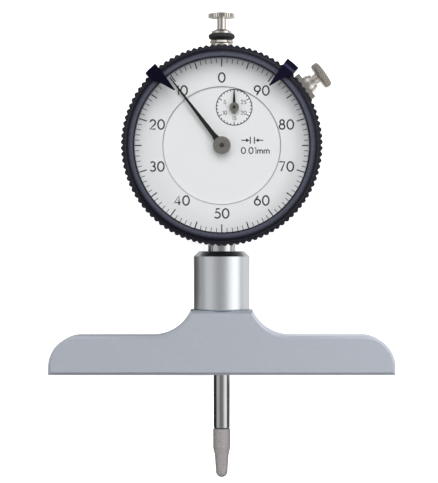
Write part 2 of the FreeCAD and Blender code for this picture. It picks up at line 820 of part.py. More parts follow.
# Upper bush, the spindle's top bearing, with a stepped neck outside the case
upper_bush = turned(
    "upper_bush",
    [
        (f"{SPINDLE_RADIUS} + running_gap", "dial_height + case_radius - bush_boss_depth"),
        ("bush_diameter / 2", "dial_height + case_radius - bush_boss_depth"),
        ("bush_diameter / 2", f"{BUSH_TOP} - 2 * bush_step"),
        ("bush_neck_diameter / 2", f"{BUSH_TOP} - 2 * bush_step + bush_slope"),
        ("bush_neck_diameter / 2", f"{BUSH_TOP} - bush_step"),
        ("bush_diameter / 2", f"{BUSH_TOP} - bush_step + bush_slope / 2"),
        ("bush_neck_diameter / 2", BUSH_TOP),
        (f"{SPINDLE_RADIUS} + running_gap", BUSH_TOP),
    ],
    role="XY_Plane",
)
BUMPER_EDGE = "(bumper_thickness / 2)"
bumper = turned(
    "bumper_ring",
    [
        (f"{SPINDLE_RADIUS} + moving_gap", BUSH_TOP),
        (f"bumper_diameter / 2 - {BUMPER_EDGE}", BUSH_TOP, BUMPER_EDGE, "left"),
        ("bumper_diameter / 2", f"{BUSH_TOP} + {BUMPER_EDGE}", BUMPER_EDGE, "left"),
        (f"bumper_diameter / 2 - {BUMPER_EDGE}", BUMPER_TOP),
        (f"{SPINDLE_RADIUS} + moving_gap", BUMPER_TOP),
    ],
    role="XY_Plane",
)

# Middle plate of the movement, hung from the deck on three pillars
PLATE_TOP = "(plate_level + plate_thickness)"
COCK_X = f"({ARBOR_X} - cock_reach)"
COCK_HIGH = f"({ARBOR_RISE} + cock_half_spread)"
COCK_LOW = f"({ARBOR_RISE} - cock_half_spread)"
COCK_SPOTS = [(COCK_X, COCK_HIGH), (COCK_X, COCK_LOW)]
RAIL_FOOT = "(guide_pin_height - rail_overlap)"
RAIL_TOP = "(guide_pin_height + spindle_travel + rail_overlap)"
RAIL_X = "(rail_start + rail_width / 2)"
RAIL_SCREW_SPOTS = [
    (RAIL_X, f"{RAIL_FOOT} - dial_height + rail_screw_inset"),
    (RAIL_X, f"{RAIL_TOP} - dial_height - rail_screw_inset"),
]
plate = new_body("movement_plate")
plate_sketch = new_sketch(plate, "XY_Plane", "plate_level")
draw_circle(plate_sketch, "0", "0", "plate_radius")
extrude(plate, "Pad", plate_sketch, "plate_thickness")
cut_circles(
    plate,
    "XY_Plane",
    "plate_level",
    [
        ("0", "0", PIVOT_SEAT),
        (TAKE_UP_X, TAKE_UP_RISE, PIVOT_SEAT),
        (ARBOR_X, ARBOR_RISE, "arbor_diameter / 2 + moving_gap"),
        *[(*spot, "pillar_screw_diameter / 2 + seat_gap") for spot in PILLAR_SPOTS],
        *[(*spot, SPIGOT_SEAT) for spot in COCK_SPOTS],
        *[(*spot, "rail_screw_diameter / 2 + seat_gap") for spot in RAIL_SCREW_SPOTS],
    ],
    "plate_thickness",
)
place(plate, y="dial_height")


def pillar_shape(radius, low, high, spigot_at_top, screw_at_foot):
    """Round pillar between two levels, with a spigot above and a tapped hole below."""
    spigot_radius = value("pillar_spigot_diameter / 2")
    pillar = rod(radius, low, high).fuse(rod(spigot_radius, high, high + spigot_at_top))
    hole_radius = value("pillar_screw_diameter / 2 + seat_gap")
    return pillar.cut(rod(hole_radius, low, low + screw_at_foot))


def at_dial(x, y, z=0.0):
    """Place measured from the dial's centre."""
    return Vector(value(x), value(f"dial_height + {y}"), z)


PILLAR_SCREW_LENGTH = value("plate_thickness + pillar_screw_length")
plate_pillar = pillar_shape(
    value("pillar_radius"),
    value(PLATE_TOP),
    value("deck_level"),
    value("pillar_spigot_length"),
    value("pillar_hole_depth"),
)
shape_node(
    "plate_pillars",
    Part.makeCompound([moved(plate_pillar, at_dial(*spot)) for spot in PILLAR_SPOTS]),
)
pillar_screw = screw_shape(value("pillar_screw_diameter"), PILLAR_SCREW_LENGTH)
shape_node(
    "plate_screws",
    Part.makeCompound(
        [
            moved(pillar_screw, at_dial(*spot, value("plate_level - screw_head_height")))
            for spot in PILLAR_SPOTS
        ]
    ),
)

# Rear cock that carries the back pivot of the drive arbor, on two pillars
COCK_TOP = "(cock_level + cock_thickness)"
cock = new_body("rear_cock")
cock_sketch = new_sketch(cock, "XY_Plane", "cock_level")
draw_outline(
    cock_sketch,
    [
        (COCK_X, f"{COCK_HIGH} + cock_corner_radius", "cock_corner_radius", "left"),
        (f"{COCK_X} - cock_corner_radius", COCK_HIGH),
        (f"{COCK_X} - cock_corner_radius", COCK_LOW, "cock_corner_radius", "left"),
        (COCK_X, f"{COCK_LOW} - cock_corner_radius"),
        (ARBOR_X, f"{ARBOR_RISE} - cock_corner_radius", "cock_corner_radius", "left"),
        (f"{ARBOR_X} + cock_corner_radius", ARBOR_RISE, "cock_corner_radius", "left"),
        (ARBOR_X, f"{ARBOR_RISE} + cock_corner_radius"),
    ],
)
extrude(cock, "Pad", cock_sketch, "cock_thickness")
cut_circles(
    cock,
    "XY_Plane",
    "cock_level",
    [
        (ARBOR_X, ARBOR_RISE, PIVOT_SEAT),
        *[(*spot, "pillar_screw_diameter / 2 + seat_gap") for spot in COCK_SPOTS],
    ],
    "cock_thickness",
)
place(cock, y="dial_height")
cock_pillar = pillar_shape(
    value("cock_pillar_radius"),
    value(COCK_TOP),
    value("plate_level"),
    value("plate_thickness"),
    value("pillar_hole_depth"),
)
shape_node(
    "cock_pillars",
    Part.makeCompound([moved(cock_pillar, at_dial(*spot)) for spot in COCK_SPOTS]),
)
shape_node(
    "cock_screws",
    Part.makeCompound(
        [
            moved(pillar_screw, at_dial(*spot, value("cock_level - screw_head_height")))
            for spot in COCK_SPOTS
        ]
    ),
)

# Slotted guide rail that keeps the spindle from turning, screwed to the plate from the front
rail = new_body("guide_rail")
rail_sketch = new_sketch(rail, "XY_Plane", "-rail_depth")
draw_outline(
    rail_sketch,
    [
        ("rail_start", RAIL_FOOT),
        ("rail_start + rail_width", RAIL_FOOT),
        ("rail_start + rail_width", RAIL_TOP),
        ("rail_start", RAIL_TOP),
    ],
)
extrude(rail, "Pad", rail_sketch, "plate_level + rail_depth")
SLOT_HALF = "(guide_pin_diameter / 2 + running_gap)"
slot_sketch = new_sketch(rail, "YZ_Plane", "rail_start")
draw_outline(
    slot_sketch,
    [
        ("guide_pin_height", f"-{SLOT_HALF}"),
        ("guide_pin_height + spindle_travel", f"-{SLOT_HALF}", SLOT_HALF, "left"),
        (f"guide_pin_height + spindle_travel + {SLOT_HALF}", "0", SLOT_HALF, "left"),
        ("guide_pin_height + spindle_travel", SLOT_HALF),
        ("guide_pin_height", SLOT_HALF, SLOT_HALF, "left"),
        (f"guide_pin_height - {SLOT_HALF}", "0", SLOT_HALF, "left"),
    ],
)
extrude(rail, "Pocket", slot_sketch, "rail_width")
cut_circles(
    rail,
    "XY_Plane",
    "plate_level",
    [(x, f"dial_height + {y}", "rail_screw_diameter / 2 + seat_gap") for x, y in RAIL_SCREW_SPOTS],
    "rail_screw_depth",
    forwards=False,
)
rail_screw = rod(
    value("rail_screw_diameter / 2"), value("plate_level - rail_screw_depth"), value(PLATE_TOP)
)
shape_node(
    "guide_rail_screws",
    Part.makeCompound([moved(rail_screw, at_dial(*spot)) for spot in RAIL_SCREW_SPOTS]),
)

# Spindle: a ground rod with the rack cut in its left side
RACK_LOW = f"(dial_height + {ARBOR_RISE} - spindle_travel - rack_margin)"
RACK_HIGH = f"(dial_height + {ARBOR_RISE} + rack_margin)"
spindle = turned(
    "spindle",
    [
        ("0", "point_thread_length - spindle_reach"),
        ("point_thread_diameter / 2 + seat_gap", "point_thread_length - spindle_reach"),
        ("point_thread_diameter / 2 + seat_gap", "-spindle_reach"),
        (f"{SPINDLE_RADIUS} - spindle_chamfer", "-spindle_reach"),
        (SPINDLE_RADIUS, "spindle_chamfer - spindle_reach"),
        (SPINDLE_RADIUS, BUMPER_TOP),
        ("knob_thread_diameter / 2 + seat_gap", BUMPER_TOP),
        ("knob_thread_diameter / 2 + seat_gap", f"{BUMPER_TOP} - knob_thread_length - seat_gap"),
        ("0", f"{BUMPER_TOP} - knob_thread_length - seat_gap"),
    ],
    role="XY_Plane",
)
RACK_TIP = "(-rack_pitch_offset - tooth_addendum * gear_pitch_size)"
RACK_ROOT = "(rack_dedendum - rack_pitch_offset)"
flat_sketch = new_sketch(spindle, "XY_Plane", "-spindle_diameter")
draw_outline(
    flat_sketch,
    [
        ("-spindle_diameter", RACK_LOW),
        (RACK_TIP, RACK_LOW),
        (RACK_TIP, RACK_HIGH),
        ("-spindle_diameter", RACK_HIGH),
    ],
)
extrude(spindle, "Pocket", flat_sketch, "2 * spindle_diameter")
TOOTH_COUNT = "floor((spindle_travel + 2 * rack_margin - rack_tooth_pitch) / rack_tooth_pitch)"
GAPS_BELOW = "floor((spindle_travel + rack_margin - rack_tooth_pitch) / rack_tooth_pitch)"
FIRST_GAP = f"(dial_height + {ARBOR_RISE} - {GAPS_BELOW} * rack_tooth_pitch)"
GAP_HALF = "(rack_tooth_pitch * rack_gap_share / 2)"
MOUTH_HALF = f"({GAP_HALF} + pressure_slope * gear_pitch_size)"
FLOOR_HALF = f"({GAP_HALF} - pressure_slope * rack_dedendum)"
RACK_MOUTH = "(-rack_pitch_offset - gear_pitch_size)"
gap_sketch = new_sketch(spindle, "XY_Plane", "-spindle_diameter")
draw_outline(
    gap_sketch,
    [
        (RACK_MOUTH, f"{FIRST_GAP} - {MOUTH_HALF}"),
        (RACK_ROOT, f"{FIRST_GAP} - {FLOOR_HALF}"),
        (RACK_ROOT, f"{FIRST_GAP} + {FLOOR_HALF}"),
        (RACK_MOUTH, f"{FIRST_GAP} + {MOUTH_HALF}"),
    ],
)
rack_gap = extrude(spindle, "Pocket", gap_sketch, "2 * spindle_diameter")
rack = spindle.newObject("PartDesign::LinearPattern", "spindle_rack")
rack.Originals = [rack_gap]
rack.Direction = (origin_feature(spindle, "Y_Axis"), [""])
rack.setExpression("Length", linked(f"({TOOTH_COUNT} - 1) * rack_tooth_pitch"))
rack.setExpression("Occurrences", linked(TOOTH_COUNT))
spindle.Tip = rack
pin_hole = new_sketch(spindle, "YZ_Plane", "0")
PIN_START = f"({SPINDLE_RADIUS} / 2)"
pin_hole.setExpression("AttachmentOffset.Base.z", linked(PIN_START))
draw_circle(pin_hole, "guide_pin_height", "0", "guide_pin_diameter / 2 + seat_gap")
extrude(spindle, "Pocket", pin_hole, "spindle_diameter")

# Contact point screwed into the spindle: gripping band, cone, taper and ball end
POINT_TOP = "(-spindle_reach)"
POINT_BALL = "(-spindle_reach - point_length + point_tip_radius)"
contact_point = turned(
    "contact_point",
    [
        ("0", "-spindle_reach - point_length", "point_tip_radius", "left"),
        ("point_tip_radius", POINT_BALL),
        ("point_cone_diameter / 2", "-spindle_reach - point_grip_length - point_cone_length"),
        ("point_diameter / 2", "-spindle_reach - point_grip_length"),
        ("point_diameter / 2", POINT_TOP),
        ("point_thread_diameter / 2", POINT_TOP),
        ("point_thread_diameter / 2", "point_thread_length - spindle_reach - seat_gap"),
        ("0", "point_thread_length - spindle_reach - seat_gap"),
    ],
    role="XY_Plane",
)

# Lifting knob screwed into the spindle's top; its flange stops on the bumper
FLANGE_FOOT = f"({BUMPER_TOP} + seat_gap)"
KNOB_FOOT = f"({FLANGE_FOOT} + knob_flange_thickness + knob_shank_length)"
lifting_knob = turned(
    "lifting_knob",
    [
        ("0", f"{BUMPER_TOP} - knob_thread_length"),
        ("knob_thread_diameter / 2", f"{BUMPER_TOP} - knob_thread_length"),
        ("knob_thread_diameter / 2", FLANGE_FOOT),
        ("knob_flange_diameter / 2", FLANGE_FOOT),
        ("knob_flange_diameter / 2", f"{FLANGE_FOOT} + knob_flange_thickness / 2"),
        ("knob_shank_diameter / 2 + knob_flange_thickness / 2", f"{FLANGE_FOOT} + knob_flange_thickness"),
        ("knob_shank_diameter / 2", f"{FLANGE_FOOT} + knob_flange_thickness"),
        ("knob_shank_diameter / 2", KNOB_FOOT),
        ("knob_diameter / 2", KNOB_FOOT),
        ("knob_diameter / 2", f"{KNOB_FOOT} + knob_thickness - knob_dome"),
        ("knob_diameter / 4", f"{KNOB_FOOT} + knob_thickness"),
        ("0", f"{KNOB_FOOT} + knob_thickness"),
    ],
    role="XY_Plane",
)


def cut_knurl(body, role, level, radius, depth, width, length, count, axis, forwards=True):
    """Straight V grooves round a rim: one is cut and the rest are copied."""
    sketch = new_sketch(body, role, level)
    draw_outline(
        sketch,
        [
            (f"{radius} - {depth}", "0"),
            (f"{radius} + {depth}", f"-({width})"),
            (f"{radius} + {depth}", width),
        ],
    )
    groove = extrude(body, "Pocket", sketch, length, forwards)
    return polar_copies(body, groove, axis, count)


cut_knurl(
    lifting_knob,
    "XZ_Plane",
    f"-{KNOB_FOOT}",
    "knob_diameter / 2",
    "knob_groove_depth",
    "knob_groove_width",
    "knob_thickness",
    "knob_groove_count",
    "Y_Axis",
    forwards=False,
)

# Guide pin: pressed in the spindle, running in the rail, holding the spring at its far end
PIN_RADIUS = "(guide_pin_diameter / 2)"
GROOVE_RADIUS = f"({PIN_RADIUS} - guide_pin_groove_depth)"
guide_pin = turned(
    "guide_pin",
    [
        (PIN_START, "0"),
        ("guide_pin_reach", "0"),
        ("guide_pin_reach", PIN_RADIUS),
        ("spring_offset + 2 * spring_wire_radius", PIN_RADIUS),
        ("spring_offset + 2 * spring_wire_radius", GROOVE_RADIUS),
        ("spring_offset - 2 * spring_wire_radius", GROOVE_RADIUS),
        ("spring_offset - 2 * spring_wire_radius", PIN_RADIUS),
        (PIN_START, PIN_RADIUS),
    ],
    role="XY_Plane",
    axis="H_Axis",
)
place(guide_pin, y="guide_pin_height")

# Spring post under the deck
spring_post = rod(
    value("spring_post_diameter / 2"),
    value("spring_post_foot"),
    value("deck_level + pillar_spigot_length"),
)
shape_node("spring_post", moved(spring_post, at_dial("spring_offset", POST_RISE)))


COIL_STEPS = 10
WIRE_SIDES = 4
HOOK_STEP = 45


def return_spring_path():
    """Lower hook round the post, coils up to the pin, and an upper hook round the pin."""
    x = value("spring_offset")
    coil = value("spring_coil_radius")
    wire = value("spring_wire_radius")
    low = value("spring_post_height")
    high = value("guide_pin_height")
    hook_low = value("spring_post_diameter / 2") + wire + value("seat_gap")
    hook_high = value("guide_pin_diameter / 2") + wire + value("seat_gap")
    turns = value("spring_turns")
    start = low + hook_low + 2 * wire
    height = high - hook_high - 2 * wire - start
    path = []
    for degrees in range(-5 * HOOK_STEP, 2 * HOOK_STEP, HOOK_STEP):
        turn = math.radians(degrees)
        path.append(Vector(x + hook_low * math.cos(turn), low + hook_low * math.sin(turn), 0))
    steps = int(turns * COIL_STEPS)
    for step in range(steps + 1):
        turn = 2 * math.pi * step / COIL_STEPS
        rise = start + height * step / steps
        path.append(Vector(x + coil * math.cos(turn), rise, coil * math.sin(turn)))
    for degrees in range(-HOOK_STEP, 6 * HOOK_STEP, HOOK_STEP):
        turn = math.radians(degrees)
        path.append(Vector(x, high + hook_high * math.sin(turn), hook_high * math.cos(turn)))
    return path


shape_node("return_spring", tube_shape(return_spring_path(), value("spring_wire_radius"), WIRE_SIDES))

# Gear train: rack pinion and wheel on the drive arbor, centre pinion, counter wheel, take-up wheel
TRAIN_SIZE = value("gear_pitch_size")
COUNTER_SIZE = value("counter_pitch_size")
drive_at = at_dial(ARBOR_X, ARBOR_RISE)
centre_at = at_dial("0", "0")
small_at = at_dial("small_dial_x", SMALL_RISE)
take_up_at = at_dial(TAKE_UP_X, TAKE_UP_RISE)


def direction(start, finish):
    """Direction from one arbor to another, in degrees from +X."""
    return math.degrees(math.atan2(finish.y - start.y, finish.x - start.x))


def arbor_shape(low, high, top, foot):
    """Turned arbor with a pivot at its foot, and one at its top unless it carries a pointer."""
    pivot = value("pivot_diameter / 2")
    body = rod(value("arbor_diameter / 2"), low, high)
    return body.fuse([rod(pivot, foot, low), rod(pivot, high, top)])


def whole(name):
    """A size that counts something, as a whole number."""
    return int(value(name))


PIVOT_TOP = value("deck_level + pillar_spigot_length")
SHOULDER = value("pivot_shoulder_gap")
drive_foot = value("cock_level")
drive_low = value(COCK_TOP) + SHOULDER
drive_high = value("deck_level") - SHOULDER
front_low = value(PLATE_TOP) + SHOULDER
gear_low = value("gear_level")
gear_thickness = value("gear_thickness")
counter_low = value("counter_gear_level")
rack_pinion = gear_shape(
    whole("rack_pinion_teeth"),
    value("rack_tooth_pitch / pi"),
    value("-rack_pinion_width / 2"),
    value("rack_pinion_width"),
    0,
)
counter_pinion = gear_shape(
    whole("counter_pinion_teeth"),
    COUNTER_SIZE,
    counter_low - SHOULDER,
    gear_thickness + 2 * SHOULDER,
    direction(drive_at, small_at),
)
drive_arbor = arbor_shape(drive_low, drive_high, PIVOT_TOP, drive_foot)
shape_node("drive_arbor", moved(drive_arbor.fuse([rack_pinion, counter_pinion]), drive_at))


def wheel_shape(count, size, low, tooth_at, windows, window_circle):
    """Thin gear wheel with round windows and a bore that fits its arbor."""
    wheel = gear_shape(count, size, low, gear_thickness, tooth_at)
    bore = rod(value("arbor_diameter / 2 + seat_gap"), low, low + gear_thickness)
    window_radius = value("gear_window_diameter / 2")
    holes = []
    for window in range(windows):
        spot = polar(window_circle, window * 360 / windows)
        holes.append(rod(window_radius, low, low + gear_thickness, spot.x, spot.y))
    return wheel.cut([bore, *holes])


drive_wheel = wheel_shape(
    whole("drive_teeth"),
    TRAIN_SIZE,
    gear_low,
    direction(drive_at, centre_at),
    whole("gear_windows"),
    value("drive_teeth * gear_pitch_size / 4"),
)
shape_node("drive_gear", moved(drive_wheel, drive_at))

# Centre arbor: its pinion has a gap where the drive gear has a tooth
centre_step = 360 / whole("centre_pinion_teeth")
centre_tooth = direction(centre_at, drive_at) + centre_step / 2
centre_pinion = gear_shape(
    whole("centre_pinion_teeth"), TRAIN_SIZE, front_low + SHOULDER, 2 * gear_thickness, centre_tooth
)
arbor_top = value("pointer_level + pointer_thickness + pointer_hub_thickness")
centre_arbor = rod(value("arbor_diameter / 2"), front_low, arbor_top).fuse(
    [rod(value("pivot_diameter / 2"), value("plate_level"), front_low), centre_pinion]
)
shape_node("pointer_arbor", moved(centre_arbor, centre_at))

# Take-up wheel, turned by the centre pinion against the hairspring
take_up_line = direction(centre_at, take_up_at)
take_up_step = 360 / whole("take_up_teeth")
share = (centre_tooth - take_up_line) / centre_step
take_up_tooth = take_up_line + 180 - (share - 0.5) * take_up_step
take_up_wheel = wheel_shape(whole("take_up_teeth"), TRAIN_SIZE, gear_low, take_up_tooth, 0, 0)
shape_node("take_up_gear", moved(take_up_wheel, take_up_at))
take_up_arbor = arbor_shape(front_low, drive_high, PIVOT_TOP, value("plate_level"))
shape_node("take_up_arbor", moved(take_up_arbor, take_up_at))

# Counter wheel that turns the small pointer
small_step = 360 / whole("counter_teeth")
counter_wheel = gear_shape(
    whole("counter_teeth"),
    COUNTER_SIZE,
    counter_low,
    gear_thickness,
    direction(small_at, drive_at) + small_step / 2,
)
small_arbor_radius = value("small_arbor_diameter / 2")
small_bore = rod(small_arbor_radius + value("seat_gap"), counter_low, counter_low + gear_thickness)
shape_node("counter_gear", moved(counter_wheel.cut(small_bore), small_at))
small_top = value("small_pointer_level + 2 * pointer_thickness")
small_arbor = rod(small_arbor_radius, counter_low - SHOULDER, small_top)
shape_node("small_pointer_arbor", moved(small_arbor, small_at))


def bush_shape(outer, bore, low):
    top = value(DIAL_SEAT)
    return rod(outer, low, top).cut(rod(bore, low, top))


BUSH_FOOT = value("deck_level - deck_thickness")
pointer_bush = bush_shape(
    value("pointer_bush_diameter / 2"), value("arbor_diameter / 2 + running_gap"), BUSH_FOOT
)
shape_node("pointer_bush", moved(pointer_bush, centre_at))
small_bush = bush_shape(
    value("small_bush_diameter / 2"), small_arbor_radius + value("running_gap"), BUSH_FOOT
)
shape_node("small_pointer_bush", moved(small_bush, small_at))

HAIRSPRING_STEPS = 12


def hairspring_shape():
    """Flat spiral of thin strip between the take-up arbor and a stud under the deck."""
    inner = value("arbor_diameter / 2 + seat_gap + hairspring_thickness / 2")
    outer = value("hairspring_outer_radius - hairspring_thickness / 2")
    half = value("hairspring_thickness / 2")
    steps = whole("hairspring_turns") * HAIRSPRING_STEPS
    level = value("hairspring_level")
    near = []
    far = []
    for step in range(steps + 1):
        radius = inner + (outer - inner) * step / steps
        turn = 360 * step / HAIRSPRING_STEPS
        near.append(polar(radius - half, turn, level))
        far.append(polar(radius + half, turn, level))
    outline = near + far[::-1] + near[:1]
    return Part.Face(Part.makePolygon(outline)).extrude(Vector(0, 0, value("hairspring_width")))


shape_node("hairspring", moved(hairspring_shape(), take_up_at))
stud = rod(value("stud_diameter / 2"), value("hairspring_level"), PIVOT_TOP)
shape_node("hairspring_stud", moved(stud, at_dial(STUD_X, TAKE_UP_RISE)))

# Dial in two pieces: a fixed middle, and a ring that turns with the bezel
inner_dial = turned(
    "inner_dial",
    [
        ("0", DIAL_SEAT),
        ("dial_split_radius - moving_gap / 2", DIAL_SEAT),
        ("dial_split_radius - moving_gap / 2", f"{DIAL_SEAT} + dial_thickness"),
        ("0", f"{DIAL_SEAT} + dial_thickness"),
    ],
)
cut_circles(
    inner_dial,
    "XY_Plane",
    DIAL_SEAT,
    [
        ("0", "0", "arbor_diameter / 2 + moving_gap"),
        ("small_dial_x", SMALL_RISE, "small_arbor_diameter / 2 + moving_gap"),
    ],
    "dial_thickness",
)
place(inner_dial, y="dial_height")
dial_ring = turned(
    "dial_ring",
    [
        ("dial_split_radius", RING_LEVEL),
        ("case_radius", RING_LEVEL),
        ("case_radius", RING_TOP),
        ("dial_split_radius", RING_TOP),
    ],
)
place(dial_ring, y="dial_height")

# Main pointer: a tapered hand under a round hub
HUB_BORE = "(arbor_diameter / 2 + seat_gap)"
pointer = new_body("pointer")
pointer_sketch = new_sketch(pointer, "XY_Plane", "pointer_level")
draw_outline(
    pointer_sketch,
    [
        ("-pointer_tip_width / 2", "pointer_length"),
        ("-pointer_width / 2", "pointer_flare_length"),
        ("-pointer_root_width / 2", "pointer_hub_diameter / 4"),
        ("-pointer_root_width / 2", "-pointer_hub_diameter / 4"),
        ("pointer_root_width / 2", "-pointer_hub_diameter / 4"),
        ("pointer_root_width / 2", "pointer_hub_diameter / 4"),
        ("pointer_width / 2", "pointer_flare_length"),
        ("pointer_tip_width / 2", "pointer_length"),
    ],
)
extrude(pointer, "Pad", pointer_sketch, "pointer_thickness")
cut_circles(pointer, "XY_Plane", "pointer_level", [("0", "0", HUB_BORE)], "pointer_thickness")
place(pointer, y="dial_height", angle="pointer_angle")
HUB_LEVEL = "(pointer_level + pointer_thickness)"
pointer_hub = turned(
    "pointer_hub",
    [
        (HUB_BORE, HUB_LEVEL),
        ("pointer_hub_diameter / 2", HUB_LEVEL),
        ("pointer_hub_diameter / 2", f"{HUB_LEVEL} + pointer_hub_thickness"),
        (HUB_BORE, f"{HUB_LEVEL} + pointer_hub_thickness"),
    ],
)
place(pointer_hub, y="dial_height")

# Small pointer: a short hand under a hub with a pointed tail
SMALL_BORE = "(small_arbor_diameter / 2 + seat_gap)"
small_pointer = new_body("small_pointer")
small_sketch = new_sketch(small_pointer, "XY_Plane", "small_pointer_level")
draw_outline(
    small_sketch,
    [
        ("-small_pointer_tip_width / 2", "small_pointer_length"),
        ("-small_pointer_width / 2", "small_hub_diameter / 2"),
        ("-small_hub_diameter / 3", "0"),
        ("-small_hub_diameter / 3", "-small_hub_diameter / 3"),
        ("small_hub_diameter / 3", "-small_hub_diameter / 3"),
        ("small_hub_diameter / 3", "0"),
        ("small_pointer_width / 2", "small_hub_diameter / 2"),
        ("small_pointer_tip_width / 2", "small_pointer_length"),
    ],
)
extrude(small_pointer, "Pad", small_sketch, "pointer_thickness")
cut_circles(small_pointer, "XY_Plane", "small_pointer_level", [("0", "0", SMALL_BORE)], "pointer_thickness")
place(small_pointer, x="small_dial_x", y=f"dial_height + {SMALL_RISE}")
small_hub = new_body("small_pointer_hub")
small_hub_sketch = new_sketch(small_hub, "XY_Plane", "small_pointer_level + pointer_thickness")
HUB_SIDE = "(small_hub_diameter / 2 * cos(small_tail_angle))"
HUB_DROP = "(-small_hub_diameter / 2 * sin(small_tail_angle))"
draw_outline(
    small_hub_sketch,
    [
        (f"-{HUB_SIDE}", HUB_DROP),
        ("-small_tail_width / 2", "-small_tail_length"),
        ("small_tail_width / 2", "-small_tail_length"),
        (HUB_SIDE, HUB_DROP, "small_hub_diameter / 2", "left"),
        ("0", "small_hub_diameter / 2", "small_hub_diameter / 2", "left"),
    ],
)
extrude(small_hub, "Pad", small_hub_sketch, "pointer_thickness")
cut_circles(
    small_hub,
    "XY_Plane",
    "small_pointer_level + pointer_thickness",
    [("0", "0", SMALL_BORE)],
    "pointer_thickness",
)
place(small_hub, x="small_dial_x", y=f"dial_height + {SMALL_RISE}")

# Bezel: a skirt that turns on the case, a knurled flange and a rounded bead with a lip for the crystal
BEAD = f"({BEZEL_TOP} - {FLANGE_TOP})"
WIRE_INNER = "(case_radius - wire_groove_depth + seat_gap)"
WIRE_TRACK = f"({WIRE_INNER} + wire_size + moving_gap / 2)"
TRACK_HALF = "(wire_size / 2 + moving_gap / 3)"
bezel = turned(
    "bezel",
    [
        (SKIRT_BORE, "skirt_level"),
        ("skirt_radius", "skirt_level"),
        ("skirt_radius", FLANGE_LEVEL),
        ("flange_radius", FLANGE_LEVEL),
        ("flange_radius", FLANGE_TOP),
        ("bead_foot_radius", FLANGE_TOP, BEAD, "left"),
        (f"bead_foot_radius - {BEAD}", BEZEL_TOP),
        ("lip_radius + lip_edge", BEZEL_TOP),
        ("lip_radius", f"{BEZEL_TOP} - lip_edge"),
        ("lip_radius", LIP_LEVEL),
        ("crystal_radius + seat_gap", LIP_LEVEL),
        ("crystal_radius + seat_gap", RING_TOP),
        (SKIRT_BORE, RING_TOP),
        (SKIRT_BORE, f"wire_level + {TRACK_HALF}"),
        (WIRE_TRACK, f"wire_level + {TRACK_HALF}"),
        (WIRE_TRACK, f"wire_level - {TRACK_HALF}"),
        (SKIRT_BORE, f"wire_level - {TRACK_HALF}"),
    ],
)
cut_knurl(
    bezel,
    "XY_Plane",
    FLANGE_LEVEL,
    "flange_radius",
    "knurl_depth",
    "knurl_width",
    "flange_thickness",
    "knurl_count",
    "Z_Axis",
)
place(bezel, y="dial_height")
bezel_wire = turned(
    "bezel_wire",
    [
        (WIRE_INNER, "wire_level - wire_size / 2"),
        (f"{WIRE_INNER} + wire_size", "wire_level - wire_size / 2"),
        (f"{WIRE_INNER} + wire_size", "wire_level + wire_size / 2"),
        (WIRE_INNER, "wire_level + wire_size / 2"),
    ],
    angle="360 - wire_opening",
)
place(bezel_wire, y="dial_height")
crystal_ring = turned(
    "crystal_ring",
    [
        ("crystal_radius - crystal_ring_wall", RING_TOP),
        ("crystal_radius", RING_TOP),
        ("crystal_radius", CRYSTAL_LEVEL),
        ("crystal_radius - crystal_ring_wall", CRYSTAL_LEVEL),
    ],
)
place(crystal_ring, y="dial_height")
crystal = turned(
    "crystal",
    [
        ("0", CRYSTAL_LEVEL),
        ("crystal_radius", CRYSTAL_LEVEL),
        ("crystal_radius", LIP_LEVEL),
        ("0", LIP_LEVEL),
    ],
)
place(crystal, y="dial_height")

# Limit markers: clips that ride on the bezel's flange, each with a blade over the dial
BLADE_LEVEL = f"({BEZEL_TOP} + moving_gap)"
BLADE_TOP = f"({BLADE_LEVEL} + marker_blade_thickness)"
STRIP_TOP = f"({BLADE_TOP} - marker_strip_drop)"
LEG_TOP = f"({FLANGE_LEVEL} - moving_gap)"
LEG_FOOT = f"({LEG_TOP} - marker_leg_thickness)"
CLIP_INNER = "(flange_radius + moving_gap)"
LEG_INNER = "(skirt_radius + moving_gap)"


def marker(name, side, angle, stand_off):
    """Marker whose block lies to the right (side 1) or the left (side -1) of its straight edge."""
    outer = f"(flange_radius + {stand_off})"
    inner = f"({outer} - marker_block_length)"
    root = f"({inner} + moving_gap)"
    tip = f"{outer} - marker_length"
    body = new_body(name)
    blade = new_sketch(body, "XY_Plane", BLADE_LEVEL)
    draw_outline(
        blade,
        [
            (f"{side} * marker_tip_shift", tip),
            ("0", root, root, "right" if side > 0 else "left"),
            (f"{side} * {root} * sin(marker_sweep_angle)", f"{root} * cos(marker_sweep_angle)"),
            (f"{side} * {inner} * sin(marker_sweep_angle)", f"{inner} * cos(marker_sweep_angle)"),
            (f"{side} * marker_waist_width", f"{outer} - marker_waist_length"),
            (f"{side} * (marker_tip_shift + marker_tip_width)", tip),
        ],
    )
    extrude(body, "Pad", blade, "marker_blade_thickness")
    clip = new_sketch(body, "YZ_Plane")
    draw_outline(
        clip,
        [
            (inner, BLADE_LEVEL),
            (CLIP_INNER, BLADE_LEVEL),
            (CLIP_INNER, LEG_TOP),
            (LEG_INNER, LEG_TOP),
            (LEG_INNER, LEG_FOOT),
            (outer, LEG_FOOT),
            (outer, STRIP_TOP),
            (f"{outer} - marker_strip_width", STRIP_TOP),
            (f"{outer} - marker_strip_width - marker_strip_drop", BLADE_TOP),
            (inner, BLADE_TOP),
        ],
    )
    clip_sweep = revolve(body, clip, angle="marker_sweep_angle")
    clip_sweep.Reversed = side > 0
    place(body, y="dial_height", angle=angle)
    return body


marker("right_marker", 1, "-marker_angle_right", "marker_stand_off_right")
marker("left_marker", -1, "marker_angle_left", "marker_stand_off_left")

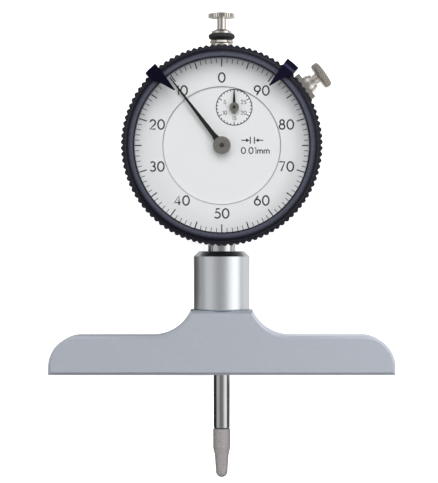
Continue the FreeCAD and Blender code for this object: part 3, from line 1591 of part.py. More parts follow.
# Bezel clamp: a bracket on the case, with a thumb screw that presses a shoe on the bezel's skirt
CLAMP_TOP = "(clamp_axis_level + clamp_boss_diameter / 2)"
FOOT_TOP = "(clamp_foot_level + clamp_foot_height)"
PLATE_FACE = "(clamp_outer_radius - clamp_plate_thickness)"
bracket = new_body("clamp_bracket")
bracket_sketch = new_sketch(bracket, "XZ_Plane")
draw_outline(
    bracket_sketch,
    [
        ("case_radius - case_wall", "clamp_foot_level"),
        ("clamp_outer_radius", "clamp_foot_level"),
        ("clamp_outer_radius", CLAMP_TOP),
        (PLATE_FACE, CLAMP_TOP),
        (PLATE_FACE, FOOT_TOP),
        ("case_radius - case_wall", FOOT_TOP),
    ],
)
extrude(bracket, "Pad", bracket_sketch, "clamp_width", both_ways=True)
boss = new_sketch(bracket, "YZ_Plane", "clamp_outer_radius")
draw_circle(boss, "0", "clamp_axis_level", "clamp_boss_diameter / 2")
extrude(bracket, "Pad", boss, "clamp_boss_length")
BOSS_END = "(clamp_outer_radius + clamp_boss_length)"
boss_collar = new_sketch(bracket, "YZ_Plane", BOSS_END)
draw_circle(boss_collar, "0", "clamp_axis_level", "clamp_collar_diameter / 2")
extrude(bracket, "Pad", boss_collar, "clamp_collar_length")
cut_circles(
    bracket,
    "XY_Plane",
    "clamp_foot_level",
    [("0", "0", "case_radius + seat_gap")],
    "clamp_foot_height",
)
cut_circles(
    bracket,
    "YZ_Plane",
    PLATE_FACE,
    [("0", "clamp_axis_level", "clamp_screw_diameter / 2 + running_gap")],
    "clamp_plate_thickness + clamp_boss_length + clamp_collar_length",
)
cut_circles(
    bracket,
    "YZ_Plane",
    "clamp_outer_radius",
    [(*spot, "screw_head_diameter / 2 + 2 * seat_gap") for spot in FIXING_SPOTS],
    "screw_head_height + seat_gap",
    forwards=False,
)
cut_circles(
    bracket,
    "YZ_Plane",
    "clamp_outer_radius",
    [(*spot, "clamp_fixing_diameter / 2 + seat_gap") for spot in FIXING_SPOTS],
    "clamp_outer_radius - case_radius + case_wall",
    forwards=False,
)
place(bracket, y="dial_height", angle="clamp_angle")
FIXING_LENGTH = "(clamp_outer_radius - screw_head_height - case_radius + case_wall / 2)"
fixing_screw = screw_shape(value("clamp_fixing_diameter"), value(FIXING_LENGTH))
inwards = polar(-1, value("clamp_angle"))
sideways = polar(1, value("clamp_angle") + 90)
fixing_top = polar(
    value("clamp_outer_radius - seat_gap"), value("clamp_angle"), value("clamp_fixing_level")
)
shape_node(
    "clamp_bracket_screws",
    Part.makeCompound(
        [
            moved(
                fixing_screw,
                at_dial("0", "0") + fixing_top + sideways * value(side),
                inwards,
            )
            for side, _ in FIXING_SPOTS
        ]
    ),
)
SHOE_FACE = "(skirt_radius + moving_gap)"
SHOE_BACK = f"({SHOE_FACE} + clamp_shoe_thickness)"
clamp_shoe = turned(
    "clamp_shoe",
    [
        (SHOE_FACE, "0"),
        (f"{SHOE_BACK} + clamp_shoe_spigot_length", "0"),
        (f"{SHOE_BACK} + clamp_shoe_spigot_length", "clamp_shoe_spigot_diameter / 2"),
        (SHOE_BACK, "clamp_shoe_spigot_diameter / 2"),
        (SHOE_BACK, "clamp_shoe_diameter / 2"),
        (SHOE_FACE, "clamp_shoe_diameter / 2"),
    ],
    role="XY_Plane",
    axis="H_Axis",
)
place(clamp_shoe, y="dial_height", z="clamp_axis_level", angle="clamp_angle")
SCREW_END = f"({SHOE_BACK} + seat_gap)"
BORE_END = f"({SHOE_BACK} + clamp_shoe_spigot_length + moving_gap)"
SHOE_BORE = "(clamp_shoe_spigot_diameter / 2 + running_gap)"
NECK_START = f"({BOSS_END} + clamp_collar_length + moving_gap)"
KNOB_START = f"({NECK_START} + clamp_neck_length)"
KNOB_END = f"({KNOB_START} + clamp_knob_thickness)"
clamp_screw = turned(
    "clamp_screw",
    [
        (BORE_END, "0"),
        (KNOB_END, "0"),
        (KNOB_END, "clamp_knob_diameter / 2 - clamp_knob_edge", "clamp_knob_edge", "left"),
        (f"{KNOB_END} - clamp_knob_edge", "clamp_knob_diameter / 2"),
        (f"{KNOB_START} + clamp_knob_edge", "clamp_knob_diameter / 2", "clamp_knob_edge", "left"),
        (KNOB_START, "clamp_knob_diameter / 2 - clamp_knob_edge"),
        (KNOB_START, "clamp_neck_diameter / 2"),
        (NECK_START, "clamp_neck_diameter / 2"),
        (NECK_START, "clamp_screw_diameter / 2"),
        (SCREW_END, "clamp_screw_diameter / 2"),
        (SCREW_END, SHOE_BORE),
        (BORE_END, SHOE_BORE),
    ],
    role="XY_Plane",
    axis="H_Axis",
)
place(clamp_screw, y="dial_height", z="clamp_axis_level", angle="clamp_angle")

# Recompute, check every object and every feature's effect, and write one file for each piece
doc.recompute()
faults = [item.Name for item in doc.Objects if {"Invalid", "Error"} & set(item.State)]
for item in doc.Objects:
    before = getattr(item, "BaseFeature", None)
    if before is None or not item.TypeId.startswith("PartDesign") or item.TypeId == "PartDesign::Body":
        continue
    change = item.Shape.Volume - before.Shape.Volume
    adds = item.TypeId in ("PartDesign::Pad", "PartDesign::Revolution")
    if (change <= 0) if adds else (change >= 0):
        faults.append(f"{item.Name} changed the volume by {change}")
for node in nodes:
    if node.Shape.isNull() or not node.Shape.isValid() or not node.Shape.Solids:
        faults.append(f"{node.Label} has no valid shape")
if faults:
    raise RuntimeError("; ".join(faults))
os.makedirs("parts", exist_ok=True)
for node in nodes:
    node.Shape.exportStep(f"parts/{node.Label}.step")
    print(node.Label, len(node.Shape.Solids), round(node.Shape.Volume, 3))
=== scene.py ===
import json
import math

import bpy
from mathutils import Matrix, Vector


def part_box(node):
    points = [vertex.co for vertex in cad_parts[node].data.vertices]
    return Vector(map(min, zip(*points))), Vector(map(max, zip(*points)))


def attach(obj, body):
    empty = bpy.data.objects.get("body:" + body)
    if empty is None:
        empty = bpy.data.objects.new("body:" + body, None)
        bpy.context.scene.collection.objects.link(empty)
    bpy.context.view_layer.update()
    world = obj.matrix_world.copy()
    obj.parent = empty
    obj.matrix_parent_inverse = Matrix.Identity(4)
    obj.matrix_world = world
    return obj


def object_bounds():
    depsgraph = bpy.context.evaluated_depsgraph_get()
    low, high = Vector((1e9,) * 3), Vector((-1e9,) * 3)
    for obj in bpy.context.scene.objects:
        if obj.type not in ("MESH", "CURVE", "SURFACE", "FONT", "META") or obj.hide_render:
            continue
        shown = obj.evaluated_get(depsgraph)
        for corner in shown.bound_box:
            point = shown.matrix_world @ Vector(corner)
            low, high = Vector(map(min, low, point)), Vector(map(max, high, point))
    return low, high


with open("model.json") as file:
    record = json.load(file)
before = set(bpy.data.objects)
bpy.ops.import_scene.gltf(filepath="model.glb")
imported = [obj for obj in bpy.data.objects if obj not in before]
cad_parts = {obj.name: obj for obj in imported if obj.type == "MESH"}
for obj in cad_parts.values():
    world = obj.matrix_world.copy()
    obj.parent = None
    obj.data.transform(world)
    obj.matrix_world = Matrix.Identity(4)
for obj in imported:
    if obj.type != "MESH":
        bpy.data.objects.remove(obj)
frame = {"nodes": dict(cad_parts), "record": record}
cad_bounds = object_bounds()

# Looks for the dial depth gauge. Everything is in metres in the part's own frame: the gauge lies on its
# back, +Y runs up the spindle and +Z comes out of the dial. Sizes written in millimetres carry MM.

MM = 0.001
FLOOR_LEVEL = cad_bounds[0][2]

# The photograph's view: straight down on the dial, from far enough that the base and the dial keep their sizes
CAMERA_PLACE = (-0.8 * MM, 39 * MM, 600 * MM)
CAMERA_LENS = 151.3
SENSOR_LONG_SIDE = 36

# The dial's centre, from the crystal, which is round it
crystal_low, crystal_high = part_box("crystal")
DIAL_CENTRE = ((crystal_low.x + crystal_high.x) / 2, (crystal_low.y + crystal_high.y) / 2)
RING_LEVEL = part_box("dial_ring")[1].z
INNER_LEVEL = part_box("inner_dial")[1].z
small_low, small_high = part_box("small_pointer_arbor")
SMALL_CENTRE = ((small_low.x + small_high.x) / 2, (small_low.y + small_high.y) / 2)


# Materials

NOISE_DETAIL = 3.0
TINT_RANGE = (0.3, 0.7)


def new_material(name, color, roughness, metallic=0.0, sockets=()):
    """Material with a Principled shader; sockets holds more of its inputs, each with its number."""
    material = bpy.data.materials.new(name)
    material.use_nodes = True
    shader = material.node_tree.nodes["Principled BSDF"]
    shader.inputs["Base Color"].default_value = (*color, 1)
    shader.inputs["Roughness"].default_value = roughness
    shader.inputs["Metallic"].default_value = metallic
    for socket, number in sockets:
        shader.inputs[socket].default_value = number
    return material


def noise(material, scale, stretch):
    """Noise over the piece's own coordinates; scale is in bumps per metre."""
    tree = material.node_tree
    place = tree.nodes.new("ShaderNodeTexCoord")
    mapping = tree.nodes.new("ShaderNodeMapping")
    mapping.inputs["Scale"].default_value = [scale * part for part in stretch]
    texture = tree.nodes.new("ShaderNodeTexNoise")
    texture.inputs["Scale"].default_value = 1.0
    texture.inputs["Detail"].default_value = NOISE_DETAIL
    tree.links.new(place.outputs["Object"], mapping.inputs["Vector"])
    tree.links.new(mapping.outputs["Vector"], texture.inputs["Vector"])
    return texture.outputs["Fac"]


def spread(material, source, socket, low, high):
    """Drive a number of the shader between two values."""
    tree = material.node_tree
    ramp = tree.nodes.new("ShaderNodeMapRange")
    ramp.inputs["To Min"].default_value = low
    ramp.inputs["To Max"].default_value = high
    tree.links.new(source, ramp.inputs["Value"])
    tree.links.new(ramp.outputs["Result"], tree.nodes["Principled BSDF"].inputs[socket])


def tint(material, source, low, high):
    """Drive the shader's colour between two colours."""
    tree = material.node_tree
    ramp = tree.nodes.new("ShaderNodeValToRGB")
    for mark, place, paint in zip(ramp.color_ramp.elements, TINT_RANGE, (low, high)):
        mark.position = place
        mark.color = (*paint, 1)
    tree.links.new(source, ramp.inputs["Fac"])
    tree.links.new(ramp.outputs["Color"], tree.nodes["Principled BSDF"].inputs["Base Color"])


def bump(material, source, height):
    """Raise the surface by a texture; height is in metres."""
    tree = material.node_tree
    node = tree.nodes.new("ShaderNodeBump")
    node.inputs["Distance"].default_value = height
    node.inputs["Strength"].default_value = 1.0
    tree.links.new(source, node.inputs["Height"])
    tree.links.new(node.outputs["Normal"], tree.nodes["Principled BSDF"].inputs["Normal"])


def finish_of(name, low, high, roughness, metallic, grain, stretch=(1, 1, 1), depth=0.002 * MM, sockets=()):
    """Finish with a slight change of colour and gloss over the surface, and a fine grain."""
    middle = tuple((a + b) / 2 for a, b in zip(low, high))
    material = new_material(name, middle, sum(roughness) / 2, metallic, sockets)
    texture = noise(material, grain, stretch)
    tint(material, texture, low, high)
    spread(material, texture, "Roughness", *roughness)
    bump(material, texture, depth)
    return material


def maths(tree, operation, first, second):
    """Math node; each input is a socket or a number."""
    node = tree.nodes.new("ShaderNodeMath")
    node.operation = operation
    for source, socket in zip((first, second), node.inputs):
        if isinstance(source, (int, float)):
            socket.default_value = source
        else:
            tree.links.new(source, socket)
    return node.outputs["Value"]


def offset_from(tree, centre):
    """Place of the surface as seen from a centre."""
    place = tree.nodes.new("ShaderNodeTexCoord")
    offset = tree.nodes.new("ShaderNodeVectorMath")
    offset.operation = "SUBTRACT"
    offset.inputs[1].default_value = centre
    tree.links.new(place.outputs["Object"], offset.inputs[0])
    return offset.outputs["Vector"]


def from_axis(material, x, y):
    """Distance of the surface from an upright axis, in metres."""
    tree = material.node_tree
    flat = tree.nodes.new("ShaderNodeVectorMath")
    flat.operation = "MULTIPLY"
    flat.inputs[1].default_value = (1, 1, 0)
    length = tree.nodes.new("ShaderNodeVectorMath")
    length.operation = "LENGTH"
    tree.links.new(offset_from(tree, (x, y, 0)), flat.inputs[0])
    tree.links.new(flat.outputs["Vector"], length.inputs[0])
    return length.outputs["Value"]


def stepped(tree, source, low, high, stops):
    """Colour that follows a length between two values; the stops are places from 0 to 1, each with a colour."""
    scale = tree.nodes.new("ShaderNodeMapRange")
    scale.inputs["From Min"].default_value = low
    scale.inputs["From Max"].default_value = high
    ramp = tree.nodes.new("ShaderNodeValToRGB")
    marks = ramp.color_ramp.elements
    for mark, (place, paint) in zip([marks[0], marks[1]], (stops[0], stops[-1])):
        mark.position = place
        mark.color = (*paint, 1)
    for place, paint in stops[1:-1]:
        marks.new(place).color = (*paint, 1)
    tree.links.new(source, scale.inputs["Value"])
    tree.links.new(scale.outputs["Result"], ramp.inputs["Fac"])
    return ramp.outputs["Color"]


def banded(material, source, low, high, stops):
    """Multiply the finish's colour by bands that follow a length between two values."""
    tree = material.node_tree
    colour = tree.nodes["Principled BSDF"].inputs["Base Color"]
    mix = tree.nodes.new("ShaderNodeMix")
    mix.data_type = "RGBA"
    mix.blend_type = "MULTIPLY"
    mix.inputs["Factor"].default_value = 1
    first, second = [socket for socket in mix.inputs if socket.type == "RGBA"]
    tree.links.new(colour.links[0].from_socket, first)
    tree.links.new(stepped(tree, source, low, high, stops), second)
    tree.links.new(next(socket for socket in mix.outputs if socket.type == "RGBA"), colour)


def rim_knurl(material, centre, angle, count, pitch, depth, inner):
    """Crossed grooves round a rim whose axis lies flat through a centre, from an inner radius outwards."""
    tree = material.node_tree
    turn = tree.nodes.new("ShaderNodeVectorRotate")
    turn.rotation_type = "Z_AXIS"
    turn.inputs["Angle"].default_value = -math.radians(angle)
    axes = tree.nodes.new("ShaderNodeSeparateXYZ")
    tree.links.new(offset_from(tree, centre), turn.inputs["Vector"])
    tree.links.new(turn.outputs["Vector"], axes.inputs["Vector"])
    across, up = axes.outputs["Y"], axes.outputs["Z"]
    round_it = maths(tree, "MULTIPLY", maths(tree, "ARCTAN2", up, across), count)
    along = maths(tree, "MULTIPLY", axes.outputs["X"], 2 * math.pi / pitch)
    one = maths(tree, "SINE", maths(tree, "ADD", round_it, along), 0)
    other = maths(tree, "SINE", maths(tree, "SUBTRACT", round_it, along), 0)
    squares = maths(tree, "ADD", maths(tree, "MULTIPLY", across, across), maths(tree, "MULTIPLY", up, up))
    beyond = maths(tree, "GREATER_THAN", squares, inner**2)
    ridges = maths(tree, "MULTIPLY", maths(tree, "MAXIMUM", one, other), beyond)
    bump(material, ridges, depth)
    return maths(tree, "ADD", ridges, maths(tree, "SUBTRACT", 1, beyond))


def diamond_knurl(material, slant, pitch, depth):
    """Crossed fine grooves on a turned part; slant is in degrees. A wave's bands repeat every pi / (10 x scale)."""
    tree = material.node_tree
    place = tree.nodes.new("ShaderNodeTexCoord")
    bands = []
    for side in (-1, 1):
        mapping = tree.nodes.new("ShaderNodeMapping")
        mapping.inputs["Rotation"].default_value = (0, 0, side * math.radians(slant))
        wave = tree.nodes.new("ShaderNodeTexWave")
        wave.bands_direction = "X"
        wave.inputs["Scale"].default_value = math.pi / (10 * pitch)
        tree.links.new(place.outputs["Object"], mapping.inputs["Vector"])
        tree.links.new(mapping.outputs["Vector"], wave.inputs["Vector"])
        bands.append(wave.outputs["Fac"])
    bump(material, maths(tree, "MULTIPLY", *bands), depth)


FINISHES = {
    "satin_steel": finish_of(
        "satin_steel", (0.595, 0.617, 0.642), (0.635, 0.657, 0.682), (0.34, 0.4), 1.0, 900, (1, 6, 1)
    ),
    "polished_steel": finish_of(
        "polished_steel", (0.37, 0.37, 0.375), (0.41, 0.41, 0.415), (0.05, 0.09), 1.0, 1500, (1, 0.1, 1), 0.0004 * MM
    ),
    "point_steel": finish_of(
        "point_steel", (0.27, 0.253, 0.249), (0.4, 0.373, 0.368), (0.5, 0.6), 0.35, 2600
    ),
    "nickel": finish_of(
        "nickel", (0.46, 0.43, 0.41), (0.56, 0.53, 0.5), (0.3, 0.4), 1.0, 2500
    ),
    "screw_steel": finish_of(
        "screw_steel", (0.4, 0.4, 0.4), (0.5, 0.5, 0.5), (0.3, 0.4), 1.0, 2500
    ),
    "arbor_steel": finish_of(
        "arbor_steel", (0.1, 0.1, 0.1), (0.2, 0.2, 0.19), (0.35, 0.45), 1.0, 3000
    ),
    "movement_brass": finish_of(
        "movement_brass", (0.6, 0.42, 0.17), (0.7, 0.5, 0.22), (0.3, 0.4), 1.0, 1500
    ),
    "case_paint": finish_of(
        "case_paint", (0.008, 0.009, 0.018), (0.014, 0.015, 0.028), (0.4, 0.5), 0.0, 2500, depth=0.006 * MM
    ),
    "bumper_rubber": finish_of(
        "bumper_rubber", (0.006, 0.006, 0.006), (0.014, 0.014, 0.014), (0.5, 0.65), 0.0, 3000, depth=0.01 * MM
    ),
    "bezel_plastic": finish_of(
        "bezel_plastic", (0.008, 0.009, 0.02), (0.014, 0.016, 0.034), (0.3, 0.38), 0.0, 3000, depth=0.004 * MM
    ),
    "marker_plastic": finish_of(
        "marker_plastic", (0.0015, 0.001, 0.007), (0.0025, 0.002, 0.011), (0.2, 0.26), 0.0, 2000,
        sockets=[("Specular IOR Level", 0.08)],
    ),
    "crystal_clear": finish_of(
        "crystal_clear", (0.1, 0.11, 0.11), (0.12, 0.13, 0.13), (0.02, 0.03), 0.0, 200, depth=0.0001 * MM,
        sockets=[("Alpha", 0.05)],
    ),
    "dial_white": finish_of(
        "dial_white", (0.78, 0.785, 0.795), (0.81, 0.815, 0.825), (0.45, 0.5), 0.0, 6000, depth=0.001 * MM
    ),
    "pointer_black": finish_of(
        "pointer_black", (0.002, 0.002, 0.002), (0.004, 0.004, 0.004), (0.25, 0.32), 0.0, 3000,
        sockets=[("Specular IOR Level", 0.2)],
    ),
    "hub_grey": finish_of(
        "hub_grey", (0.11, 0.105, 0.09), (0.17, 0.16, 0.145), (0.42, 0.52), 0.2, 2200, depth=0.004 * MM
    ),
}
POINT_KNURL_SLANT = 40
POINT_KNURL_PITCH = 0.5 * MM
POINT_KNURL_DEPTH = 0.03 * MM
diamond_knurl(FINISHES["point_steel"], POINT_KNURL_SLANT, POINT_KNURL_PITCH, POINT_KNURL_DEPTH)

# Pieces whose look differs from the rest of their slot. The base has a finer, duller ground face than the
# turned collar, and the stem is polished. The bezel's bead top has a painted highlight, with painted shade on its
# inner edge, slope, groove and knurl. The right marker's slope has a painted highlight. The knobs, upper bush and
# clamp bracket are plated; the bracket has a painted highlight band, and the clamp knob has painted shade in its
# grooves and at its rims. The crystal's ring is grey, and the arbor ends on the dial are dark. Bands round the dial
# run from an inner to an outer radius.
BASE_FINISH = finish_of(
    "base_ground", (0.58, 0.617, 0.683), (0.61, 0.647, 0.713), (0.5, 0.56), 1.0, 700, (1, 5, 1)
)
BEZEL_PAINTED_SHADING = finish_of(
    "bezel_painted_highlight_and_shade", (0.7, 0.7, 0.7), (1.3, 1.3, 1.3), (0.34, 0.42), 0.0, 2600, depth=0.006 * MM,
    sockets=[("Specular IOR Level", 0.12)],
)
BEZEL_RADII = (25 * MM, 29.5 * MM)
# Painted highlight on the bead's top, and painted shade on the inner edge, outer slope, groove and knurl, by radius
BEZEL_HIGHLIGHT_AND_SHADE_BANDS = [
    (0, (0.002, 0.002, 0.004)),
    (0.1, (0.004, 0.004, 0.008)),
    (0.18, (0.066, 0.071, 0.096)),
    (0.28, (0.062, 0.067, 0.092)),
    (0.39, (0.034, 0.036, 0.055)),
    (0.47, (0.004, 0.004, 0.01)),
    (0.61, (0.003, 0.003, 0.008)),
    (0.7, (0.02, 0.02, 0.028)),
    (1, (0.02, 0.02, 0.028)),
]
banded(BEZEL_PAINTED_SHADING, from_axis(BEZEL_PAINTED_SHADING, *DIAL_CENTRE), *BEZEL_RADII, BEZEL_HIGHLIGHT_AND_SHADE_BANDS)
MARKER_PAINTED_HIGHLIGHT = finish_of(
    "marker_painted_highlight", (0.85, 0.85, 0.85), (1.15, 1.15, 1.15), (0.2, 0.26), 0.0, 2000,
    sockets=[("Specular IOR Level", 0.12)],
)
# A painted highlight band across the right marker's slope, by radius
MARKER_RADII = (28 * MM, 30.6 * MM)
MARKER_HIGHLIGHT_BANDS = [
    (0, (0.003, 0.002, 0.012)),
    (0.3, (0.003, 0.002, 0.012)),
    (0.45, (0.035, 0.032, 0.08)),
    (0.6, (0.035, 0.032, 0.08)),
    (0.75, (0.003, 0.003, 0.014)),
    (1, (0.003, 0.003, 0.014)),
]
banded(MARKER_PAINTED_HIGHLIGHT, from_axis(MARKER_PAINTED_HIGHLIGHT, *DIAL_CENTRE), *MARKER_RADII, MARKER_HIGHLIGHT_BANDS)
BRIGHT_NICKEL = finish_of(
    "bright_nickel", (0.54, 0.505, 0.465), (0.64, 0.605, 0.565), (0.1, 0.17), 1.0, 2500
)
WARM_NICKEL_PAINTED_HIGHLIGHT = finish_of(
    "warm_nickel_painted_highlight", (0.82, 0.8, 0.77), (0.94, 0.92, 0.89), (0.2, 0.28), 1.0, 2500
)
# A painted highlight band across the clamp bracket's boss, on the warm nickel, by radius
BRACKET_DULL = (0.53, 0.51, 0.48)
BRACKET_PAINTED_HIGHLIGHT = (0.74, 0.73, 0.71)
BRACKET_RADII = (28 * MM, 34 * MM)
BRACKET_HIGHLIGHT_BANDS = [
    (0, BRACKET_DULL),
    (0.5, BRACKET_DULL),
    (0.57, BRACKET_PAINTED_HIGHLIGHT),
    (0.64, BRACKET_PAINTED_HIGHLIGHT),
    (0.7, BRACKET_DULL),
    (1, BRACKET_DULL),
]
banded(WARM_NICKEL_PAINTED_HIGHLIGHT, from_axis(WARM_NICKEL_PAINTED_HIGHLIGHT, *DIAL_CENTRE), *BRACKET_RADII, BRACKET_HIGHLIGHT_BANDS)
KNURLED_NICKEL_PAINTED_SHADE = finish_of(
    "knurled_nickel_painted_shade", (0.6, 0.555, 0.515), (0.72, 0.67, 0.625), (0.34, 0.44), 1.0, 2500
)
CLAMP_AXIS = (*DIAL_CENTRE, (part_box("clamp_shoe")[0].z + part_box("clamp_shoe")[1].z) / 2)
CLAMP_ANGLE = 35.5
KNOB_GROOVES = 32
KNOB_PITCH = 0.8 * MM
KNOB_GROOVE_DEPTH = 0.08 * MM
KNOB_PLAIN_RADIUS = 3.4 * MM
ridges = rim_knurl(
    KNURLED_NICKEL_PAINTED_SHADE, CLAMP_AXIS, CLAMP_ANGLE, KNOB_GROOVES, KNOB_PITCH, KNOB_GROOVE_DEPTH, KNOB_PLAIN_RADIUS
)
# Painted shade in the knob's knurl grooves, lighter on the ridges
GROOVE_PAINTED_SHADE = [(0, (0.5, 0.48, 0.46)), (0.55, (0.7, 0.68, 0.66)), (1, (1, 1, 1))]
banded(KNURLED_NICKEL_PAINTED_SHADE, ridges, -1, 1, GROOVE_PAINTED_SHADE)
# Painted shade at the knob's inner and outer rims, lighter across its middle, along the clamp's axis
KNOB_RADII = (32 * MM, 37 * MM)
KNOB_RIM_PAINTED_SHADE = [
    (0, (0.55, 0.55, 0.55)),
    (0.2, (0.85, 0.85, 0.85)),
    (0.55, (0.95, 0.94, 0.93)),
    (0.65, (0.6, 0.59, 0.58)),
    (1, (0.6, 0.59, 0.58)),
]
banded(KNURLED_NICKEL_PAINTED_SHADE, from_axis(KNURLED_NICKEL_PAINTED_SHADE, *DIAL_CENTRE), *KNOB_RADII, KNOB_RIM_PAINTED_SHADE)
RIM_GREY = finish_of(
    "rim_grey", (0.19, 0.21, 0.245), (0.23, 0.25, 0.285), (0.45, 0.55), 0.0, 2600
)
STEM_FINISH = finish_of(
    "stem_polished", (0.44, 0.445, 0.45), (0.5, 0.505, 0.51), (0.08, 0.14), 1.0, 1500, (1, 0.1, 1), 0.0004 * MM
)
ARBOR_BLACK = finish_of(
    "arbor_black", (0.012, 0.012, 0.012), (0.02, 0.02, 0.02), (0.4, 0.5), 0.6, 3000
)
ARBOR_DARK = finish_of(
    "arbor_dark", (0.03, 0.029, 0.026), (0.05, 0.048, 0.043), (0.4, 0.5), 0.6, 3000
)
# The dial's split shows as a soft grey ring: painted shade on the dial ring's inner edge stands for an eased edge,
# and painted light on the case seat below lightens the gap
RING_WITH_EDGE_SHADE = finish_of(
    "dial_ring_painted_edge_shade", (0.78, 0.785, 0.795), (0.81, 0.815, 0.825), (0.45, 0.5), 0.0, 6000, depth=0.001 * MM
)
SPLIT_RADIUS = (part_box("inner_dial")[1].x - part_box("inner_dial")[0].x) / 2
SPLIT_SHADE_WIDTH = 0.8 * MM
SPLIT_PAINTED_SHADE = [(0, (0.9, 0.91, 0.92)), (0.35, (0.94, 0.95, 0.96)), (0.6, (1, 1, 1)), (1, (1, 1, 1))]
banded(RING_WITH_EDGE_SHADE, from_axis(RING_WITH_EDGE_SHADE, *DIAL_CENTRE), SPLIT_RADIUS, SPLIT_RADIUS + SPLIT_SHADE_WIDTH, SPLIT_PAINTED_SHADE)
CASE_AND_SEAT_LIGHT = finish_of(
    "case_and_painted_seat_light", (0.85, 0.85, 0.85), (1.15, 1.15, 1.15), (0.4, 0.5), 0.0, 2500, depth=0.006 * MM
)
SEAT_RADIUS = SPLIT_RADIUS + 1 * MM
# Painted light on the case seat under the dial's split, so the split shows lighter; the rest is the case's own paint
SEAT_PAINTED_LIGHT = (0.7, 0.7, 0.7)
PAINT = (0.011, 0.012, 0.023)
SEAT_PAINTED_LIGHT_BANDS = [(0, SEAT_PAINTED_LIGHT), (0.45, SEAT_PAINTED_LIGHT), (0.5, PAINT), (1, PAINT)]
banded(CASE_AND_SEAT_LIGHT, from_axis(CASE_AND_SEAT_LIGHT, *DIAL_CENTRE), 0, 2 * SEAT_RADIUS, SEAT_PAINTED_LIGHT_BANDS)
INK_DARK = finish_of("ink_dark", (0.012, 0.012, 0.014), (0.018, 0.018, 0.02), (0.5, 0.6), 0.0, 4000)
INK_GREY = finish_of("ink_grey", (0.12, 0.12, 0.125), (0.15, 0.15, 0.155), (0.5, 0.6), 0.0, 4000)

OWN_FINISH = {
    "base": BASE_FINISH,
    "case": CASE_AND_SEAT_LIGHT,
    "stem": STEM_FINISH,
    "dial_ring": RING_WITH_EDGE_SHADE,
    "crystal_ring": RIM_GREY,
    "bezel": BEZEL_PAINTED_SHADING,
    "right_marker": MARKER_PAINTED_HIGHLIGHT,
    "lifting_knob": BRIGHT_NICKEL,
    "upper_bush": BRIGHT_NICKEL,
    "clamp_bracket": WARM_NICKEL_PAINTED_HIGHLIGHT,
    "clamp_screw": KNURLED_NICKEL_PAINTED_SHADE,
    "pointer_arbor": ARBOR_DARK,
    "small_pointer_arbor": ARBOR_BLACK,
}
for part in frame["record"]["subparts"]:
    for place in frame["nodes"][part["node"]].material_slots:
        place.material = OWN_FINISH.get(part["node"], FINISHES[part["material_slot"]])


# Printing on the dial


def arc(x, y, across, up, start, stop, steps=20):
    """Points on an ellipse, from one angle to another in degrees."""
    points = []
    for step in range(steps + 1):
        turn = math.radians(start + (stop - start) * step / steps)
        points.append((x + across * math.cos(turn), y + up * math.sin(turn)))
    return points


# Plain thin numerals: each has its width and its strokes, for a height of 1
GLYPHS = {
    "0": (0.68, [arc(0.34, 0.5, 0.34, 0.5, 0, 360, 32)]),
    "1": (0.22, [[(0.22, 0), (0.22, 1), (0, 0.84)]]),
    "2": (0.6, [arc(0.3, 0.7, 0.28, 0.3, 170, -38) + [(0, 0), (0.6, 0)]]),
    "3": (0.56, [arc(0.27, 0.76, 0.23, 0.24, 150, -90) + arc(0.27, 0.26, 0.29, 0.26, 90, -150)]),
    "4": (0.66, [[(0.5, 0), (0.5, 1), (0, 0.27), (0.66, 0.27)]]),
    "5": (0.58, [[(0.52, 1), (0.19, 1), (0.08, 0.54)] + arc(0.26, 0.32, 0.32, 0.32, 125, -145)]),
    "6": (0.62, [arc(0.31, 0.31, 0.31, 0.31, 0, 360, 28), [(0.05, 0.47), (0.4, 1)]]),
    "7": (0.58, [[(0, 1), (0.58, 1), (0.18, 0)]]),
    "8": (0.58, [arc(0.29, 0.765, 0.22, 0.235, 0, 360, 24), arc(0.29, 0.265, 0.29, 0.265, 0, 360, 28)]),
    "9": (0.62, [arc(0.31, 0.69, 0.31, 0.31, 0, 360, 28), [(0.57, 0.53), (0.22, 0)]]),
    ".": (0.06, [[(0, 0), (0.06, 0)]]),
    "m": (
        0.84,
        [
            [(0, 0), (0, 0.62)],
            arc(0.21, 0.4, 0.21, 0.22, 180, 0, 12) + [(0.42, 0)],
            arc(0.63, 0.4, 0.21, 0.22, 180, 0, 12) + [(0.84, 0)],
        ],
    ),
}


LETTER_GAP = 0.26


def words(text, x, y, height):
    """Strokes of a short text, with its middle at x and y."""
    length = sum(GLYPHS[letter][0] for letter in text) + LETTER_GAP * (len(text) - 1)
    start = x - length * height / 2
    strokes = []
    for letter in text:
        width, outline = GLYPHS[letter]
        for stroke in outline:
            strokes.append([(start + px * height, y + (py - 0.5) * height) for px, py in stroke])
        start += (width + LETTER_GAP) * height
    return strokes


INK_THICKNESS = 0.012 * MM
CLOSED_GAP = 1e-7


def ink(name, strokes, width, centre, level, material, body):
    """Printed lines on the dial: each stroke is a row of points from the centre, in metres."""
    curve = bpy.data.curves.new(name, "CURVE")
    curve.dimensions = "3D"
    curve.bevel_depth = width / 2
    curve.bevel_resolution = 1
    curve.use_fill_caps = True
    for stroke in strokes:
        closed = math.dist(stroke[0], stroke[-1]) < CLOSED_GAP
        points = stroke[:-1] if closed else stroke
        spline = curve.splines.new("POLY")
        spline.points.add(len(points) - 1)
        spline.use_cyclic_u = closed
        for point, (x, y) in zip(spline.points, points):
            point.co = (x, y, 0, 1)
    drawn = bpy.data.objects.new(name, curve)
    mesh = bpy.data.meshes.new_from_object(drawn)
    bpy.data.objects.remove(drawn)
    for vertex in mesh.vertices:
        vertex.co.x += centre[0]
        vertex.co.y += centre[1]
        vertex.co.z = level + vertex.co.z * 2 * INK_THICKNESS / width
    mesh.materials.clear()
    mesh.materials.append(material)
    piece = bpy.data.objects.new(name, mesh)
    bpy.context.scene.collection.objects.link(piece)
    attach(piece, body)


def at_turn(turn, radius):
    """Point at a radius from the centre; turn is in degrees, counter-clockwise from the top."""
    return -math.sin(math.radians(turn)) * radius, math.cos(math.radians(turn)) * radius


